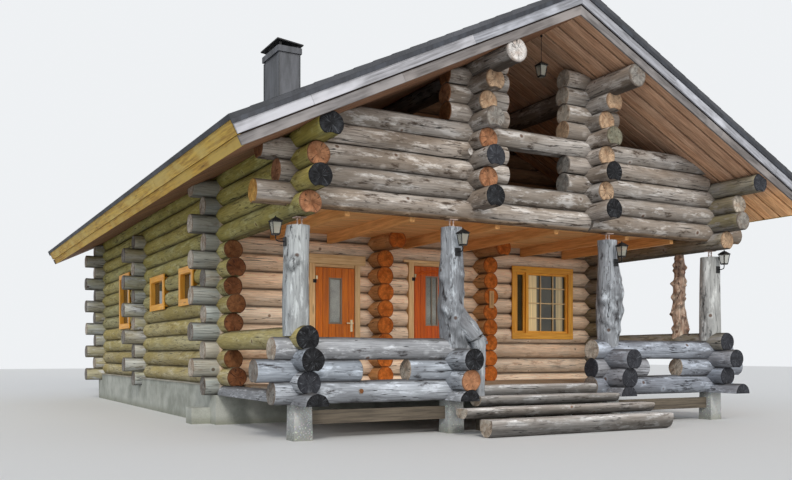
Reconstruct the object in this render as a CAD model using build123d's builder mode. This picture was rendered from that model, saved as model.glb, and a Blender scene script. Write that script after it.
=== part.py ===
"""Log cabin with a porch under a balcony, built up from round logs.

X runs along the gable front, Y from the front to the back, Z up. The origin is on the ground,
under the ridge, in the plane of the porch posts. Logs along X and logs along Y lie half a course
apart, and each log is saddle-notched on its underside over the logs that it crosses. A row number
counts courses: whole rows run along X, half rows run along Y.
"""

import os
from math import asin, atan, cos, pi, radians, sin, sqrt, tan

from build123d import *

os.makedirs("parts", exist_ok=True)

# Log work
course = 281.0
pier_course = 260.0
log_diameter = 316.0
seat = 0.3
first_log = 600.0
long_end = 560.0
short_end = 360.0
stub_inside = 400.0

# Centre lines of the log walls
half_width = 3750.0
front_wall = 3070.0
mid_wall = 8040.0
rear_wall = 12450.0
cross_wall = 1080.0

# Rows of the walls
wall_top_row = 11
plate_row = 11.5
mid_top_row = 10
cross_top_row = 8.5
beam_row = 9
guard_row = 13
side_rail_row = 2.5

# Log ends on the gable front, out from the centre line that they cross
wall_end_long = 615.0
wall_end_short = 475.0
cross_end = 455.0
cross_top_end = 870.0
balcony_ends = {8.5: 374.0, 9.5: 682.0, 10.5: 605.0, 11.5: 1008.0}
facade_ends = {9: 640.0, 10: 330.0, 11: 560.0}
pier_end_long = 570.0
pier_end_short = 400.0
pier_inside = 450.0
pier_reach = 493.0
pier_opening = 540.0
beam_joint = 1000.0

# Porch rails and posts
corner_post = half_width
inner_post = 1450.0
left_corner_rail_ends = {-0.5: 600.0, 0.5: 340.0, 1.5: 460.0, 2.5: 310.0}
right_corner_rail_ends = {-0.5: 690.0, 0.5: 390.0, 1.5: 570.0, 2.5: 375.0}
inner_rail_ends = {-0.5: 510.0, 0.5: 510.0, 1.5: 600.0}
rail_inside = 140.0
rail_end = 400.0
stub_end = 640.0
rail_inner_end = 350.0
outer_stub_tip = 2904.0
inner_stub_tip = 2218.0
post_radius = 170.0
jack_height = 110.0
jack_plate = 8.0
jack_plate_width = 140.0
jack_screw = 18.0
jack_screw_gap = 60.0
pedestal_width = 256.0
pedestal_taper = 1.0

# Deck, steps and floors
deck_top = 620.0
board_thickness = 30.0
floor_depth = 160.0
deck_joists = (300.0, 1450.0, 2600.0)
deck_joist_width = 120.0
edge_log_top = 655.0
step_rise = 140.0
step_going = 305.0
tread_width = 298.0
step_spans = ((-1250.0, 1285.0), (-1680.0, 1700.0), (-1500.0, 1770.0))
stringers = (-900.0, 0.0, 900.0)
stringer_width = 80.0
skirt_height = 180.0
skirt_drop = 80.0
inner_joists = (550.0, 2000.0)
outer_joist_in = 750.0
balcony_joist_width = 75.0
balcony_joist_depth = 158.0
foundation_width = 400.0
foundation_ledge = 250.0
corner_stone = (300.0, 320.0, 256.0)

# Roof, measured square to the slope
pitch_rise = 0.487
plate_hewn = 130.0
eave_overhang = 1280.0
roof_half_width = half_width + eave_overhang
roof_depth = 360.0
slab_depth = 300.0
front_verge = -1080.0
rear_verge = rear_wall + 1106.0
verge_board = 28.0
verge_lower_top = 132.0
verge_upper_foot = 120.0
flashing_thickness = 18.0
flashing_height = 52.0
fascia_board = 25.0
fascia_height = 140.0
ridge_cap_reach = 180.0
ridge_cap_thickness = 12.0
purlin = 1075.0
purlin_hewn = 85.0
purlin_radius = 170.0
purlin_end = 1040.0

# Chimney
chimney_left = -1600.0
chimney_width = 450.0
chimney_front = 6200.0
chimney_depth = 860.0
chimney_top = 7350.0
collar_height = 120.0
collar_lap = 35.0
cap_lift = 90.0
cap_thickness = 25.0
cap_tilt = 6.0
cap_lap = 60.0
cap_leg = 40.0

# Doors
doors = {"left": -1895.0, "middle": -10.0}
door_width = 830.0
door_tops = {"left": 2600.0, "middle": 2707.5}
door_sill_row = 0.5
jamb = 50.0
jamb_depth = 240.0
casing = 25.0
casing_lap = 50.0
head_lap = 150.0
head_heights = {"left": 160.0, "middle": 45.0}
threshold = 40.0
door_gap = 9.0
leaf_thickness = 54.0
leaf_sunk = 2.0
stop_thickness = 25.0
stop_width = 22.0
stop_clear = 6.0
lite_heights = {"left": 720.0, "middle": 830.0}
lite_top_margin = 190.0
lite_width = 190.0
twin_lite_width = 95.0
twin_lite_gap = 115.0
pane = 8.0
handle_height = 1000.0
handle_inset = 62.0
pin_radius = 8.0
pin_forward = 16.0
pin_inset = 2.0
knuckle = 60.0
hinge_inset = 200.0
hinge_web = 5.0
hinge_plate = 3.5
hinge_plate_width = 48.0

# Windows
window_side_rows = ((4680.0, 780.0, 5, 7), (6730.0, 1000.0, 5, 7), (9730.0, 950.0, 4, 8))
window_rear = (2000.0, 1000.0, 4, 8)
window_front = (2492.0, 1358.0, 3, 7.5)
mullion = 2110.0
mullion_width = 60.0
window_jamb = 60.0
window_lining = 110.0
window_lap = 55.0
window_casing = 25.0
pane_out = 90.0
bar = 22.0

# Lanterns
lantern_width = 150.0
lantern_height = 250.0
lantern_reach = 130.0
lantern_base = 2590.0
lantern_plate = 130.0
hanging_drop = 370.0
hanging_lantern_y = -180.0
rod = 12.0
arm = 24.0

pitch = atan(pitch_rise)
log_radius = log_diameter / 2


def seam(row):
    """Height of a seam; the piers' logs above the wall plates have a lower course."""
    plain = min(row, plate_row)
    return first_log + plain * course + (row - plain) * pier_course


def middle(row):
    """Height of a log's axis."""
    return (seam(row + 0.5) + seam(row - 0.5)) / 2


def right_cheek(row, grow=-seat / 2):
    """The three faces of a log's rounded side, as corners from its upper seat to its lower one."""
    height = seam(row + 0.5) - seam(row - 0.5) + 2 * grow
    diameter = log_diameter + 2 * grow
    seat_angle = asin(height / diameter)
    angles = (seat_angle, seat_angle / 3, -seat_angle / 3, -seat_angle)
    return [(diameter / 2 * cos(a), diameter / 2 * sin(a)) for a in angles]


def mirrored(points):
    """The same outline on the other side of the middle line, in the order that closes it."""
    return [(-across, up) for across, up in reversed(points)]


def log_section(row):
    """Whole section of a log about its axis."""
    return right_cheek(row) + mirrored(right_cheek(row))


def upper_half(row, grow):
    """Section of a log above the seam that halves it, about its axis."""
    top, side = right_cheek(row, grow)[:2]
    half = [top, side, (side[0], seam(row) - middle(row))]
    return half + mirrored(half)


def cheek_face(row):
    """How far a log's upright face stands out from its axis."""
    return right_cheek(row)[1][0]


# The roof's underside at the ridge, and the highest rows of purlins, piers and gables that fit under it
ridge_under = seam(plate_row) + plate_hewn + half_width * pitch_rise
purlin_row = max(plate_row + k for k in range(99)
                 if middle(plate_row + k) + purlin_hewn <= ridge_under - purlin * pitch_rise)
pier_top_row = int(purlin_row - 0.5)
purlin_side_row = int(purlin_row + 0.5)
gable_top_row = max(k for k in range(99) if seam(k - 0.5) < ridge_under - purlin_radius * pitch_rise)
log_face = cheek_face(pier_top_row)


def lay_along_x(y, row, spans):
    """Logs of one row along X, one for each span of the row."""
    for start, end in spans:
        with BuildSketch(Plane.YZ.offset(start)) as section:
            with Locations((y, middle(row))):
                Polygon(*log_section(row))
        extrude(section.sketch, amount=end - start)


def lay_along_y(x, row, spans):
    """Logs of one row along Y, one for each span of the row."""
    for start, end in spans:
        with BuildSketch(Plane.XZ.offset(-end)) as section:
            with Locations((x, middle(row))):
                Polygon(*log_section(row))
        extrude(section.sketch, amount=end - start)


def notch_logs_along_y(x, crossings):
    """Saddle notches in the logs along Y at x: crossings gives (y, row of the notched log)."""
    with BuildSketch(Plane.YZ.offset(x - log_diameter)) as section:
        for y, row in crossings:
            with Locations((y, middle(row - 0.5))):
                Polygon(*upper_half(row - 0.5, seat / 2))
    extrude(section.sketch, amount=2 * log_diameter, mode=Mode.SUBTRACT)


def notch_logs_along_x(y, crossings):
    """Saddle notches in the logs along X at y: crossings gives (x, row of the notched log)."""
    with BuildSketch(Plane.XZ.offset(-y - log_diameter)) as section:
        for x, row in crossings:
            with Locations((x, middle(row - 0.5))):
                Polygon(*upper_half(row - 0.5, seat / 2))
    extrude(section.sketch, amount=2 * log_diameter, mode=Mode.SUBTRACT)


def rows_between(first, last):
    """Row numbers from first to last, one course apart."""
    return [first + step for step in range(int(last - first) + 1)]


def pieces(start, end, openings):
    """What an opening or two leave of a log that runs from start to end."""
    parts = []
    for low, high in sorted(openings):
        parts.append((start, low))
        start = high
    return parts + [(start, end)]


def alternate(row, even, odd):
    """Log ends stand out long and short by turns."""
    return even if int(row) % 2 == 0 else odd


def slope(run, rise):
    """Point of the left slope: run is taken down it from the ridge, rise square out of its underside."""
    return (-(run * cos(pitch) + rise * sin(pitch)), ridge_under - run * sin(pitch) + rise * cos(pitch))


def slope_box(low, high, start, end):
    """Section of a roof layer between two rises, from the ridge or a run down to another run."""
    def top_run(rise):
        return seat - rise * tan(pitch) if start is None else start
    return [slope(top_run(low), low), slope(top_run(high), high), slope(end, high), slope(end, low)]


def flip(points, side):
    """A left-hand outline, or the same one on the right-hand side."""
    return points if side < 0 else [(-across, up) for across, up in points]


def lay_slope(points, start, end):
    """A roof layer with this section, from start to end along Y."""
    with BuildSketch(Plane.XZ.offset(-end)) as section:
        Polygon(*points)
    extrude(section.sketch, amount=end - start)


def box(low, high, mode=Mode.ADD):
    """A block between two opposite corners."""
    size = [abs(b - a) for a, b in zip(low, high)]
    with Locations(tuple((a + b) / 2 for a, b in zip(low, high))):
        Box(*size, mode=mode)


def add_banded(rings, sides, turn=0.0):
    """A solid with flat faces between rings: each ring is a regular polygon, (height, radius, x, y)."""
    loops = [[(x + radius * cos(turn + 2 * pi * k / sides), y + radius * sin(turn + 2 * pi * k / sides), height)
              for k in range(sides)] for height, radius, x, y in rings]
    faces = [Face(Wire.make_polygon(loops[0])), Face(Wire.make_polygon(loops[-1]))]
    for low, high in zip(loops, loops[1:]):
        faces += [Face(Wire.make_polygon([low[k - 1], low[k], high[k], high[k - 1]])) for k in range(sides)]
    add(Solid(Shell(faces)))


def finish(name, *built):
    """Write the file of a piece, from the bodies of one part or several."""
    piece = Compound([solid for part in built for solid in part.part.solids()])
    piece.label = name
    export_step(piece, f"parts/{name}.step")


eave_run = (roof_half_width - roof_depth * sin(pitch)) / cos(pitch)


def under_roof(height):
    """How far from the ridge line the roof's underside comes down to a height."""
    return (ridge_under - height) / pitch_rise


def trim_under_roof(start, end):
    """Hew off what stands above the roof's underside."""
    reach = 2 * roof_half_width
    drop = reach * pitch_rise
    with BuildSketch(Plane.XZ.offset(-end)) as section:
        Polygon((0, ridge_under - seat), (reach, ridge_under - seat - drop), (reach, ridge_under + drop),
                (-reach, ridge_under + drop), (-reach, ridge_under - seat - drop))
    extrude(section.sketch, amount=end - start, mode=Mode.SUBTRACT)


def roof_top(across):
    """Height of the roofing's upper face at a distance from the ridge line."""
    return ridge_under + roof_depth / cos(pitch) - abs(across) * pitch_rise


def bed_purlins(places, start, end):
    """Round beds for the purlins in the logs under and beside them."""
    with BuildSketch(Plane.XZ.offset(-end)) as section:
        with Locations([(x, middle(purlin_row)) for x in places]):
            RegularPolygon(radius=purlin_radius + seat, side_count=12)
    extrude(section.sketch, amount=end - start, mode=Mode.SUBTRACT)


def clear_cross_walls(start, end, low, high):
    """Room in a floor for the logs of the short cross walls."""
    for x in (-cross_wall, cross_wall):
        box((x - log_radius, start, low), (x + log_radius, end, high), Mode.SUBTRACT)


# Foundation: low blocks under the cross logs, higher ones under the long walls
cross_seat = seam(-0.5) - seat
long_seat = seam(0) - seat
with BuildPart() as foundation:
    outer = half_width + foundation_width / 2
    for y, side in ((front_wall, 1), (rear_wall, -1)):
        ends = sorted((y - side * foundation_width / 2, y + side * foundation_ledge))
        box((-outer, ends[0], 0), (outer, ends[1], cross_seat))
    for side in (-1, 1):
        across = sorted((side * (half_width - foundation_width / 2), side * outer))
        box((across[0], mid_wall - log_radius, 0), (across[1], mid_wall + log_radius, cross_seat))
        for start, end in ((front_wall + foundation_ledge, mid_wall - log_radius),
                           (mid_wall + log_radius, rear_wall - foundation_ledge)):
            box((across[0], start + seat, 0), (across[1], end - seat, long_seat))
    long, deep, high = corner_stone
    box((-outer - seat - long, front_wall + foundation_ledge - deep / 2, 0),
        (-outer - seat, front_wall + foundation_ledge + deep / 2, high))
finish("foundation", foundation)

# Floor of the rooms, a boarded slab on the foundation's ledges
with BuildPart() as room_floor:
    reach = half_width - foundation_width / 2 - seat
    box((-reach, front_wall + log_face + seat, deck_top - floor_depth),
        (reach, rear_wall - log_face - seat, deck_top))
    clear_cross_walls(front_wall, front_wall + stub_inside + seat, seam(0), deck_top)
    for side in (-1, 1):
        box((side * (half_width - stub_inside - seat), mid_wall - log_radius, deck_top - floor_depth),
            (side * half_width, mid_wall + log_radius, deck_top), Mode.SUBTRACT)
finish("room_floor", room_floor)

# Side walls: logs along Y, the upper ones running out to the balcony's corners
for side, name, rail_ends in ((-1, "left_wall", left_corner_rail_ends),
                              (1, "right_wall", right_corner_rail_ends)):
    with BuildPart() as wall:
        x = side * half_width
        crossings = []
        for row in rows_between(0.5, plate_row):
            end = rear_wall + alternate(row, short_end, long_end)
            start = front_wall - alternate(row, wall_end_long, wall_end_short)
            if row == side_rail_row:
                start = -rail_ends[row]
                crossings.append((0, row))
            if row in balcony_ends:
                start = -balcony_ends[row]
            if row > beam_row:
                crossings.append((0, row))
            if row == plate_row:
                end = rear_wall + purlin_end
            cuts = [(y - width / 2, y + width / 2) for y, width, bottom, top in window_side_rows
                    if bottom < row < top]
            lay_along_y(x, row, pieces(start, end, cuts))
            crossings += [(front_wall, row), (rear_wall, row)]
            if row <= mid_top_row + 0.5:
                crossings.append((mid_wall, row))
        notch_logs_along_y(x, crossings)
        trim_under_roof(front_verge, rear_verge)
    finish(name, wall)

# Front wall behind the porch and the balcony, with its gable
end_walls = ((front_wall, "front_wall", "front_gable"), (rear_wall, "rear_wall", "rear_gable"))
for y, wall_name, gable_name in end_walls:
    is_front = y == front_wall
    with BuildPart() as wall:
        crossings = []
        hewn = []
        for row in rows_between(0, wall_top_row):
            reach = half_width + (alternate(row, short_end, long_end) if is_front
                                  else alternate(row, long_end, short_end))
            cuts = []
            if is_front:
                cuts += [(x - door_width / 2, x + door_width / 2) for door, x in doors.items()
                         if row > door_sill_row and seam(row - 0.5) < door_tops[door]]
                x, width, bottom, top = window_front
                if bottom < row < top:
                    cuts.append((x - width / 2, x + width / 2))
            else:
                x, width, bottom, top = window_rear
                if bottom - 0.5 < row < top - 0.5:
                    cuts += [(s * x - width / 2, s * x + width / 2) for s in (-1, 1)]
            lay_along_x(y, row, pieces(-reach, reach, cuts))
            for door, x in doors.items():
                if is_front and seam(row - 0.5) < door_tops[door] < seam(row + 0.5):
                    lay_along_x(y, row, [(x - door_width / 2 + seat, x + door_width / 2 - seat)])
                    hewn.append((x, door_width, seam(row - 0.5), door_tops[door]))
            if row > 0:
                crossings += [(-half_width, row), (half_width, row)]
                if is_front and row <= cross_top_row + 0.5:
                    crossings += [(-cross_wall, row), (cross_wall, row)]
        notch_logs_along_x(y, crossings)
        if is_front:
            x, width, bottom, top = window_front
            hewn.append((x, width, seam(bottom), seam(bottom + 0.5)))
        for x, width, low, high in hewn:
            box((x - width / 2, y - log_diameter, low), (x + width / 2, y + log_diameter, high), Mode.SUBTRACT)
        trim_under_roof(y - log_diameter, y + log_diameter)
    finish(wall_name, wall)

    with BuildPart() as gable:
        for row in rows_between(wall_top_row + 1, gable_top_row):
            reach = min(under_roof(seam(row - 0.5)), half_width - log_face - seat)
            if abs(row - purlin_row) < 1 and row > purlin_row:
                reach = purlin - purlin_radius - seat
            lay_along_x(y, row, [(-reach, reach)])
        bed_purlins((-purlin, purlin), y - log_diameter, y + log_diameter)
        trim_under_roof(y - log_diameter, y + log_diameter)
    finish(gable_name, gable)

# Short cross walls whose log ends stand out of the front wall
with BuildPart() as stubs:
    rows = rows_between(0.5, cross_top_row)
    for x in (-cross_wall, cross_wall):
        for row in rows:
            end = cross_top_end if row == cross_top_row else cross_end
            lay_along_y(x, row, [(front_wall - end, front_wall + stub_inside)])
        notch_logs_along_y(x, [(front_wall, row) for row in rows])
finish("cross_wall_stubs", stubs)

# Cross logs that tie each long wall at its middle
with BuildPart() as ties:
    for row in rows_between(0, mid_top_row):
        outside = half_width + alternate(row, short_end, long_end)
        inside = half_width - stub_inside
        lay_along_x(mid_wall, row, [(-outside, -inside), (inside, outside)])
    notch_logs_along_x(mid_wall, [(x, row) for x in (-half_width, half_width)
                                  for row in rows_between(1, mid_top_row)])
    trim_under_roof(mid_wall - log_diameter, mid_wall + log_diameter)
finish("tie_logs", ties)

# Balcony front: a spliced beam, a lower log, side walls of logs, a guard log and short pier logs
with BuildPart() as beam:
    reach = half_width + facade_ends[beam_row]
    lay_along_x(0, beam_row, [(-reach, beam_joint - seat / 2), (beam_joint + seat / 2, reach)])
    notch_logs_along_x(0, [(-half_width, beam_row), (half_width, beam_row)])
finish("balcony_beam", beam)

with BuildPart() as balcony_front:
    crossings = []
    for row in rows_between(beam_row + 1, guard_row):
        reach = half_width + facade_ends[row] if row in facade_ends else under_roof(seam(row - 0.5))
        if row > plate_row:
            reach = min(reach, half_width - log_face - seat)
        gap = [] if row in (beam_row + 1, guard_row) else [(-pier_opening, pier_opening)]
        lay_along_x(0, row, pieces(-reach, reach, gap))
        crossings += [(-cross_wall, row), (cross_wall, row)]
        if row < plate_row:
            crossings += [(-half_width, row), (half_width, row)]
    notch_logs_along_x(0, crossings)
    trim_under_roof(-log_diameter, log_diameter)
finish("balcony_front_logs", balcony_front)

for side, name in ((-1, "left_pier"), (1, "right_pier")):
    with BuildPart() as long_logs:
        x = side * cross_wall
        rows = rows_between(beam_row + 0.5, pier_top_row - 0.5)
        for row in rows:
            end = alternate(row, pier_end_short, pier_end_long)
            lay_along_y(x, row, [(-end, pier_inside)])
        notch_logs_along_y(x, [(0, row) for row in rows])
        bed_purlins([side * purlin], -pier_end_long, pier_inside)
    with BuildPart() as cross_logs:
        rows = rows_between(guard_row + 1, pier_top_row)
        for row in rows:
            lay_along_x(0, row, [tuple(sorted((side * pier_opening, side * (cross_wall + pier_reach))))])
        beside = purlin - purlin_radius / 2
        lay_along_x(0, purlin_side_row, [tuple(sorted((side * pier_opening, side * beside)))])
        notch_logs_along_x(0, [(x, row) for row in rows])
        bed_purlins([side * purlin], -log_diameter, log_diameter)
        trim_under_roof(-log_diameter, log_diameter)
    finish(name, long_logs, cross_logs)

# Purlins, round logs from verge to verge, hewn to the slope on top
with BuildPart() as purlins:
    with BuildSketch(Plane.XZ.offset(-rear_wall - purlin_end)):
        with Locations((-purlin, middle(purlin_row)), (purlin, middle(purlin_row))):
            RegularPolygon(radius=purlin_radius, side_count=12)
    extrude(amount=rear_wall + 2 * purlin_end)
    trim_under_roof(front_verge, rear_verge)
finish("purlins", purlins)

# Roof slabs, roofing, ridge cap
front_face = front_verge + 2 * verge_board + 2 * seat
rear_face = rear_verge - 2 * verge_board - 2 * seat
lip = flashing_thickness + seat
with BuildPart() as slabs:
    for side in (-1, 1):
        lay_slope(flip(slope_box(0, slab_depth, None, eave_run - 2 * fascia_board - 2 * seat), side),
                  front_face, rear_face)
finish("roof_slabs", slabs)

with BuildPart() as roofing:
    for side in (-1, 1):
        lay_slope(flip(slope_box(slab_depth + seat, roof_depth, None, eave_run + lip), side),
                  front_verge - lip, rear_verge + lip)
finish("roofing", roofing)

# Boards of the verges and eaves: each upper board laps over the top of the lower one
with BuildPart() as trim_boards:
    for verge, inward in ((front_verge, 1), (rear_verge, -1)):
        outer = sorted((verge, verge + inward * verge_board))
        inner = sorted((verge + inward * (verge_board + seat), verge + inward * (2 * verge_board + seat)))
        for side in (-1, 1):
            lay_slope(flip(slope_box(0, verge_lower_top, None, eave_run), side), *inner)
            lay_slope(flip(slope_box(verge_upper_foot, slab_depth, None, eave_run), side), *outer)
    for side in (-1, 1):
        lower = slope_box(0, fascia_height, eave_run - 2 * fascia_board - seat, eave_run - fascia_board - seat)
        upper = slope_box(fascia_height - fascia_board, slab_depth, eave_run - fascia_board, eave_run)
        lay_slope(flip(lower, side), front_face, rear_face)
        lay_slope(flip(upper, side), front_face, rear_face)
finish("roof_trim_boards", trim_boards)

# Flashings: a cap over the ridge and a strip down each verge
with BuildPart() as flashings:
    cap_low = roof_depth + seat
    cap_high = cap_low + ridge_cap_thickness
    half = [(0, ridge_under + cap_high / cos(pitch)), slope(ridge_cap_reach, cap_high),
            slope(ridge_cap_reach, cap_low), (0, ridge_under + cap_low / cos(pitch))]
    lay_slope(half + mirrored(half[1:3]), front_verge - lip, rear_verge + lip)
    for verge, inward in ((front_verge, 1), (rear_verge, -1)):
        for side in (-1, 1):
            strip = flip(slope_box(slab_depth - flashing_height, slab_depth, None, eave_run + lip), side)
            lay_slope(strip, *sorted((verge - inward * seat, verge - inward * lip)))
finish("roof_flashings", flashings)

# Chimney, standing on the left slope
chimney_right = chimney_left + chimney_width
chimney_back = chimney_front + chimney_depth
with BuildPart() as chimney:
    with BuildSketch(Plane.XZ.offset(-chimney_back)):
        Polygon((chimney_left, roof_top(chimney_left) + seat), (chimney_right, roof_top(chimney_right) + seat),
                (chimney_right, chimney_top), (chimney_left, chimney_top))
    extrude(amount=chimney_depth)
    box((chimney_left - collar_lap, chimney_front - collar_lap, chimney_top - collar_height),
        (chimney_right + collar_lap, chimney_back + collar_lap, chimney_top))
finish("chimney", chimney)

with BuildPart() as chimney_cap:
    middle_x = (chimney_left + chimney_right) / 2
    middle_y = (chimney_front + chimney_back) / 2
    plate_middle = chimney_top + cap_lift
    with Locations(Location((middle_x, middle_y, plate_middle), (0, cap_tilt, 0))):
        Box(chimney_width + 2 * cap_lap, chimney_depth + 2 * cap_lap, cap_thickness)
    for x in (chimney_left + cap_leg, chimney_right - cap_leg):
        for y in (chimney_front + cap_leg, chimney_back - cap_leg):
            box((x - cap_leg / 2, y - cap_leg / 2, chimney_top + seat),
                (x + cap_leg / 2, y + cap_leg / 2, plate_middle - (x - middle_x) * tan(radians(cap_tilt))))
finish("chimney_cap", chimney_cap)

# Pedestals under the posts
post_lines = (-corner_post, -inner_post, inner_post, corner_post)
with BuildPart() as pedestals:
    with BuildSketch():
        with Locations([(x, 0) for x in post_lines]):
            Rectangle(pedestal_width, pedestal_width)
    extrude(amount=cross_seat, taper=pedestal_taper)
finish("post_pedestals", pedestals)

# Porch rails: whole logs above and below, short ones between, all crossing at the posts
rail_rows = (0, 1, 2)
for side, name in ((-1, "left_porch_rail"), (1, "right_porch_rail")):
    def across(start, end):
        """A span of the left bay, or its mirror image."""
        return (start, end) if side < 0 else (-end, -start)
    with BuildPart() as rail:
        inner = -inner_post + rail_inner_end
        for row in (0, 2):
            lay_along_x(0, row, [across(-corner_post - rail_end, inner)])
        lay_along_x(0, 1, [across(-corner_post - stub_end, -outer_stub_tip), across(-inner_stub_tip, inner)])
        notch_logs_along_x(0, [(side * x, row) for x in (corner_post, inner_post) for row in rail_rows])
    with BuildPart() as ends:
        corner_ends = left_corner_rail_ends if side < 0 else right_corner_rail_ends
        for x, reaches in ((side * corner_post, corner_ends), (side * inner_post, inner_rail_ends)):
            for row in (0.5, 1.5):
                lay_along_y(x, row, [(-reaches[row], rail_inside)])
            notch_logs_along_y(x, [(0, row) for row in (0.5, 1.5)])
            stop = rail_inside if x == side * inner_post else front_wall - log_face - seat
            with BuildSketch(Plane.XZ.offset(-stop)):
                with Locations((x, middle(-0.5))):
                    Polygon(*upper_half(-0.5, -seat / 2))
            extrude(amount=stop + reaches[-0.5])
    finish(name, rail, ends)

# Posts: peeled logs, the inner two swollen with burls, each under a screw jack
left_corner_bands = ((0, 1.0, -45, 0), (0.5, 0.98, -55, 0), (0.85, 0.95, -45, 0), (1, 0.86, -15, 0))
right_corner_bands = ((0, 1.04, 0, 0), (0.5, 1.0, 0, 0), (1, 0.94, 0, 0))
left_burl_bands = ((0, 1.12, 25, -10), (0.12, 1.02, 5, 0), (0.3, 1.1, -15, -5), (0.45, 0.98, 5, 5),
                   (0.62, 1.06, -8, 0), (0.8, 0.9, 4, 0), (1, 0.84, 0, 0))
right_burl_bands = ((0, 0.92, 5, 0), (0.15, 1.02, 12, 0), (0.35, 1.2, 30, -10), (0.55, 1.16, 34, -8),
                    (0.72, 1.0, 20, 0), (0.85, 0.84, -6, 0), (1, 0.9, -8, 0))
posts = (("left_corner_post", -corner_post, side_rail_row + 0.5, cross_top_row - 0.5, left_corner_bands),
         ("left_inner_post", -inner_post, side_rail_row, beam_row - 0.5, left_burl_bands),
         ("right_inner_post", inner_post, side_rail_row, beam_row - 0.5, right_burl_bands),
         ("right_corner_post", corner_post, side_rail_row + 0.5, cross_top_row - 0.5, right_corner_bands))


def post_rings(x, foot_row, head_row, bands):
    """Rings of a post: height, radius and the place of the middle."""
    foot = seam(foot_row) + seat
    head = seam(head_row) - jack_height
    return [(foot + share * (head - foot), post_radius * swell, x + lean_x, lean_y)
            for share, swell, lean_x, lean_y in bands]


def ring_at(height, rings):
    """Radius and middle of a post at a height."""
    for low, high in zip(rings, rings[1:]):
        if low[0] <= height <= high[0]:
            share = (height - low[0]) / (high[0] - low[0])
            return [a + (b - a) * share for a, b in zip(low[1:], high[1:])]


# The left inner post keeps a root that comes down in the corner of its rail onto the first step:
# height, radius, out from the post's middle
root_bands = ((-seat, 56, 330, -240), (420, 56, 340, -236), (640, 66, 330, -238), (790, 84, 290, -248),
              (890, 100, 220, -200), (990, 92, 130, -110), (1090, 60, 70, -50))
for name, x, foot_row, head_row, bands in posts:
    with BuildPart() as post:
        add_banded(post_rings(x, foot_row, head_row, bands), 12)
        if name == "left_inner_post":
            root_foot = edge_log_top - step_rise + 2 * seat
            add_banded([(root_foot + up, radius, x + out_x, out_y) for up, radius, out_x, out_y in root_bands], 8)
    finish(name, post)

with BuildPart() as jacks:
    for name, x, foot_row, head_row, bands in posts:
        low = seam(head_row) - jack_height + seat
        high = seam(head_row) - seat
        for base in (low, high - jack_plate):
            box((x - jack_plate_width / 2, -jack_plate_width / 2, base),
                (x + jack_plate_width / 2, jack_plate_width / 2, base + jack_plate))
        for screw_x in (x - jack_screw_gap / 2, x + jack_screw_gap / 2):
            add_banded([(low, jack_screw / 2, screw_x, 0), (high, jack_screw / 2, screw_x, 0)], 8)
finish("post_jacks", jacks)

# Twisted trunk that stands on the right side rail
trunk_bands = ((0, 145, -10, 0), (0.12, 120, 15, -20), (0.3, 125, -30, 20), (0.45, 98, 15, 35),
               (0.6, 108, -25, -10), (0.75, 88, 15, 25), (0.9, 96, -10, 5), (1, 70, 0, 0))
trunk_at = 660.0
with BuildPart() as trunk:
    foot = seam(side_rail_row + 0.5) + seat
    head = seam(cross_top_row - 0.5) - seat
    add_banded([(foot + share * (head - foot), radius, half_width + lean_x, trunk_at + lean_y)
                for share, radius, lean_x, lean_y in trunk_bands], 8)
finish("twisted_trunk", trunk)

# Porch deck on its joists, with a skirt board under its front
with BuildPart() as deck:
    reach = half_width - log_face - seat
    box((-reach, log_face + seat, deck_top - board_thickness),
        (reach, front_wall - log_face - seat, deck_top))
    clear_cross_walls(front_wall - cross_end - seat, front_wall, seam(0), deck_top)
finish("porch_deck", deck)

with BuildPart() as deck_frame:
    for y in deck_joists:
        box((-reach, y - deck_joist_width / 2, seam(-0.5)),
            (reach, y + deck_joist_width / 2, deck_top - board_thickness - seat))

with BuildPart() as skirts:
    top = seam(-0.5) - skirt_drop
    half = pedestal_width / 2 - (top - skirt_height) * tan(radians(pedestal_taper)) + seat
    for side in (-1, 1):
        box((side * (corner_post - half), -board_thickness, top - skirt_height),
            (side * (inner_post + half), 0, top))
finish("skirt_boards", skirts)

# Steps: an edge log, half-log treads with hewn tops, a bottom log on the ground, stepped stringers
edge_seat = seam(-0.5)
half_tread = tread_width / 2
with BuildPart() as steps:
    edge_reach = inner_post - rail_inner_end - seat
    half = [(half_tread * 0.6, edge_log_top), (half_tread, edge_log_top - 60),
            (half_tread, edge_seat + 70), (half_tread * 0.7, edge_seat + seat)]
    with BuildSketch(Plane.YZ.offset(-edge_reach)):
        Polygon(*half, *mirrored(half))
    extrude(amount=2 * edge_reach)
    for number, (start, end) in enumerate(step_spans, start=1):
        top = edge_log_top - number * step_rise
        on_ground = number == len(step_spans)
        base = 0 if on_ground else top - step_rise + seat
        half = [(half_tread - 8, top), (half_tread, top - 15), (half_tread, top - 70),
                (half_tread * 0.7, base)]
        with BuildSketch(Plane.YZ.offset(start)):
            with Locations((-number * step_going, 0)):
                Polygon(*half, *mirrored(half))
        extrude(amount=end - start)
finish("porch_steps", steps)

with BuildPart() as stringer_part:
    for x in stringers:
        outline = [(half_tread, 0), (half_tread, edge_seat)]
        for number in range(len(step_spans)):
            level = edge_log_top - (number + 1) * step_rise if number else edge_seat
            riser = half_tread + seat - (number + 1) * step_going
            outline += [(outline[-1][0], level), (riser, level)] if number else [(riser, level)]
        outline.append((outline[-1][0], 0))
        with BuildSketch(Plane.YZ.offset(x - stringer_width / 2)):
            Polygon(*outline)
        extrude(amount=stringer_width)
finish("porch_framing", deck_frame, stringer_part)

# Balcony floor on joists
joist_top = seam(beam_row) - seat - board_thickness
with BuildPart() as balcony_floor:
    reach = half_width - log_face - seat
    box((-reach, log_face + seat, joist_top + seat),
        (reach, front_wall - log_face - seat, seam(beam_row) - seat))
    clear_cross_walls(front_wall - cross_top_end - seat, front_wall, joist_top, seam(beam_row))
finish("balcony_floor", balcony_floor)

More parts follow.
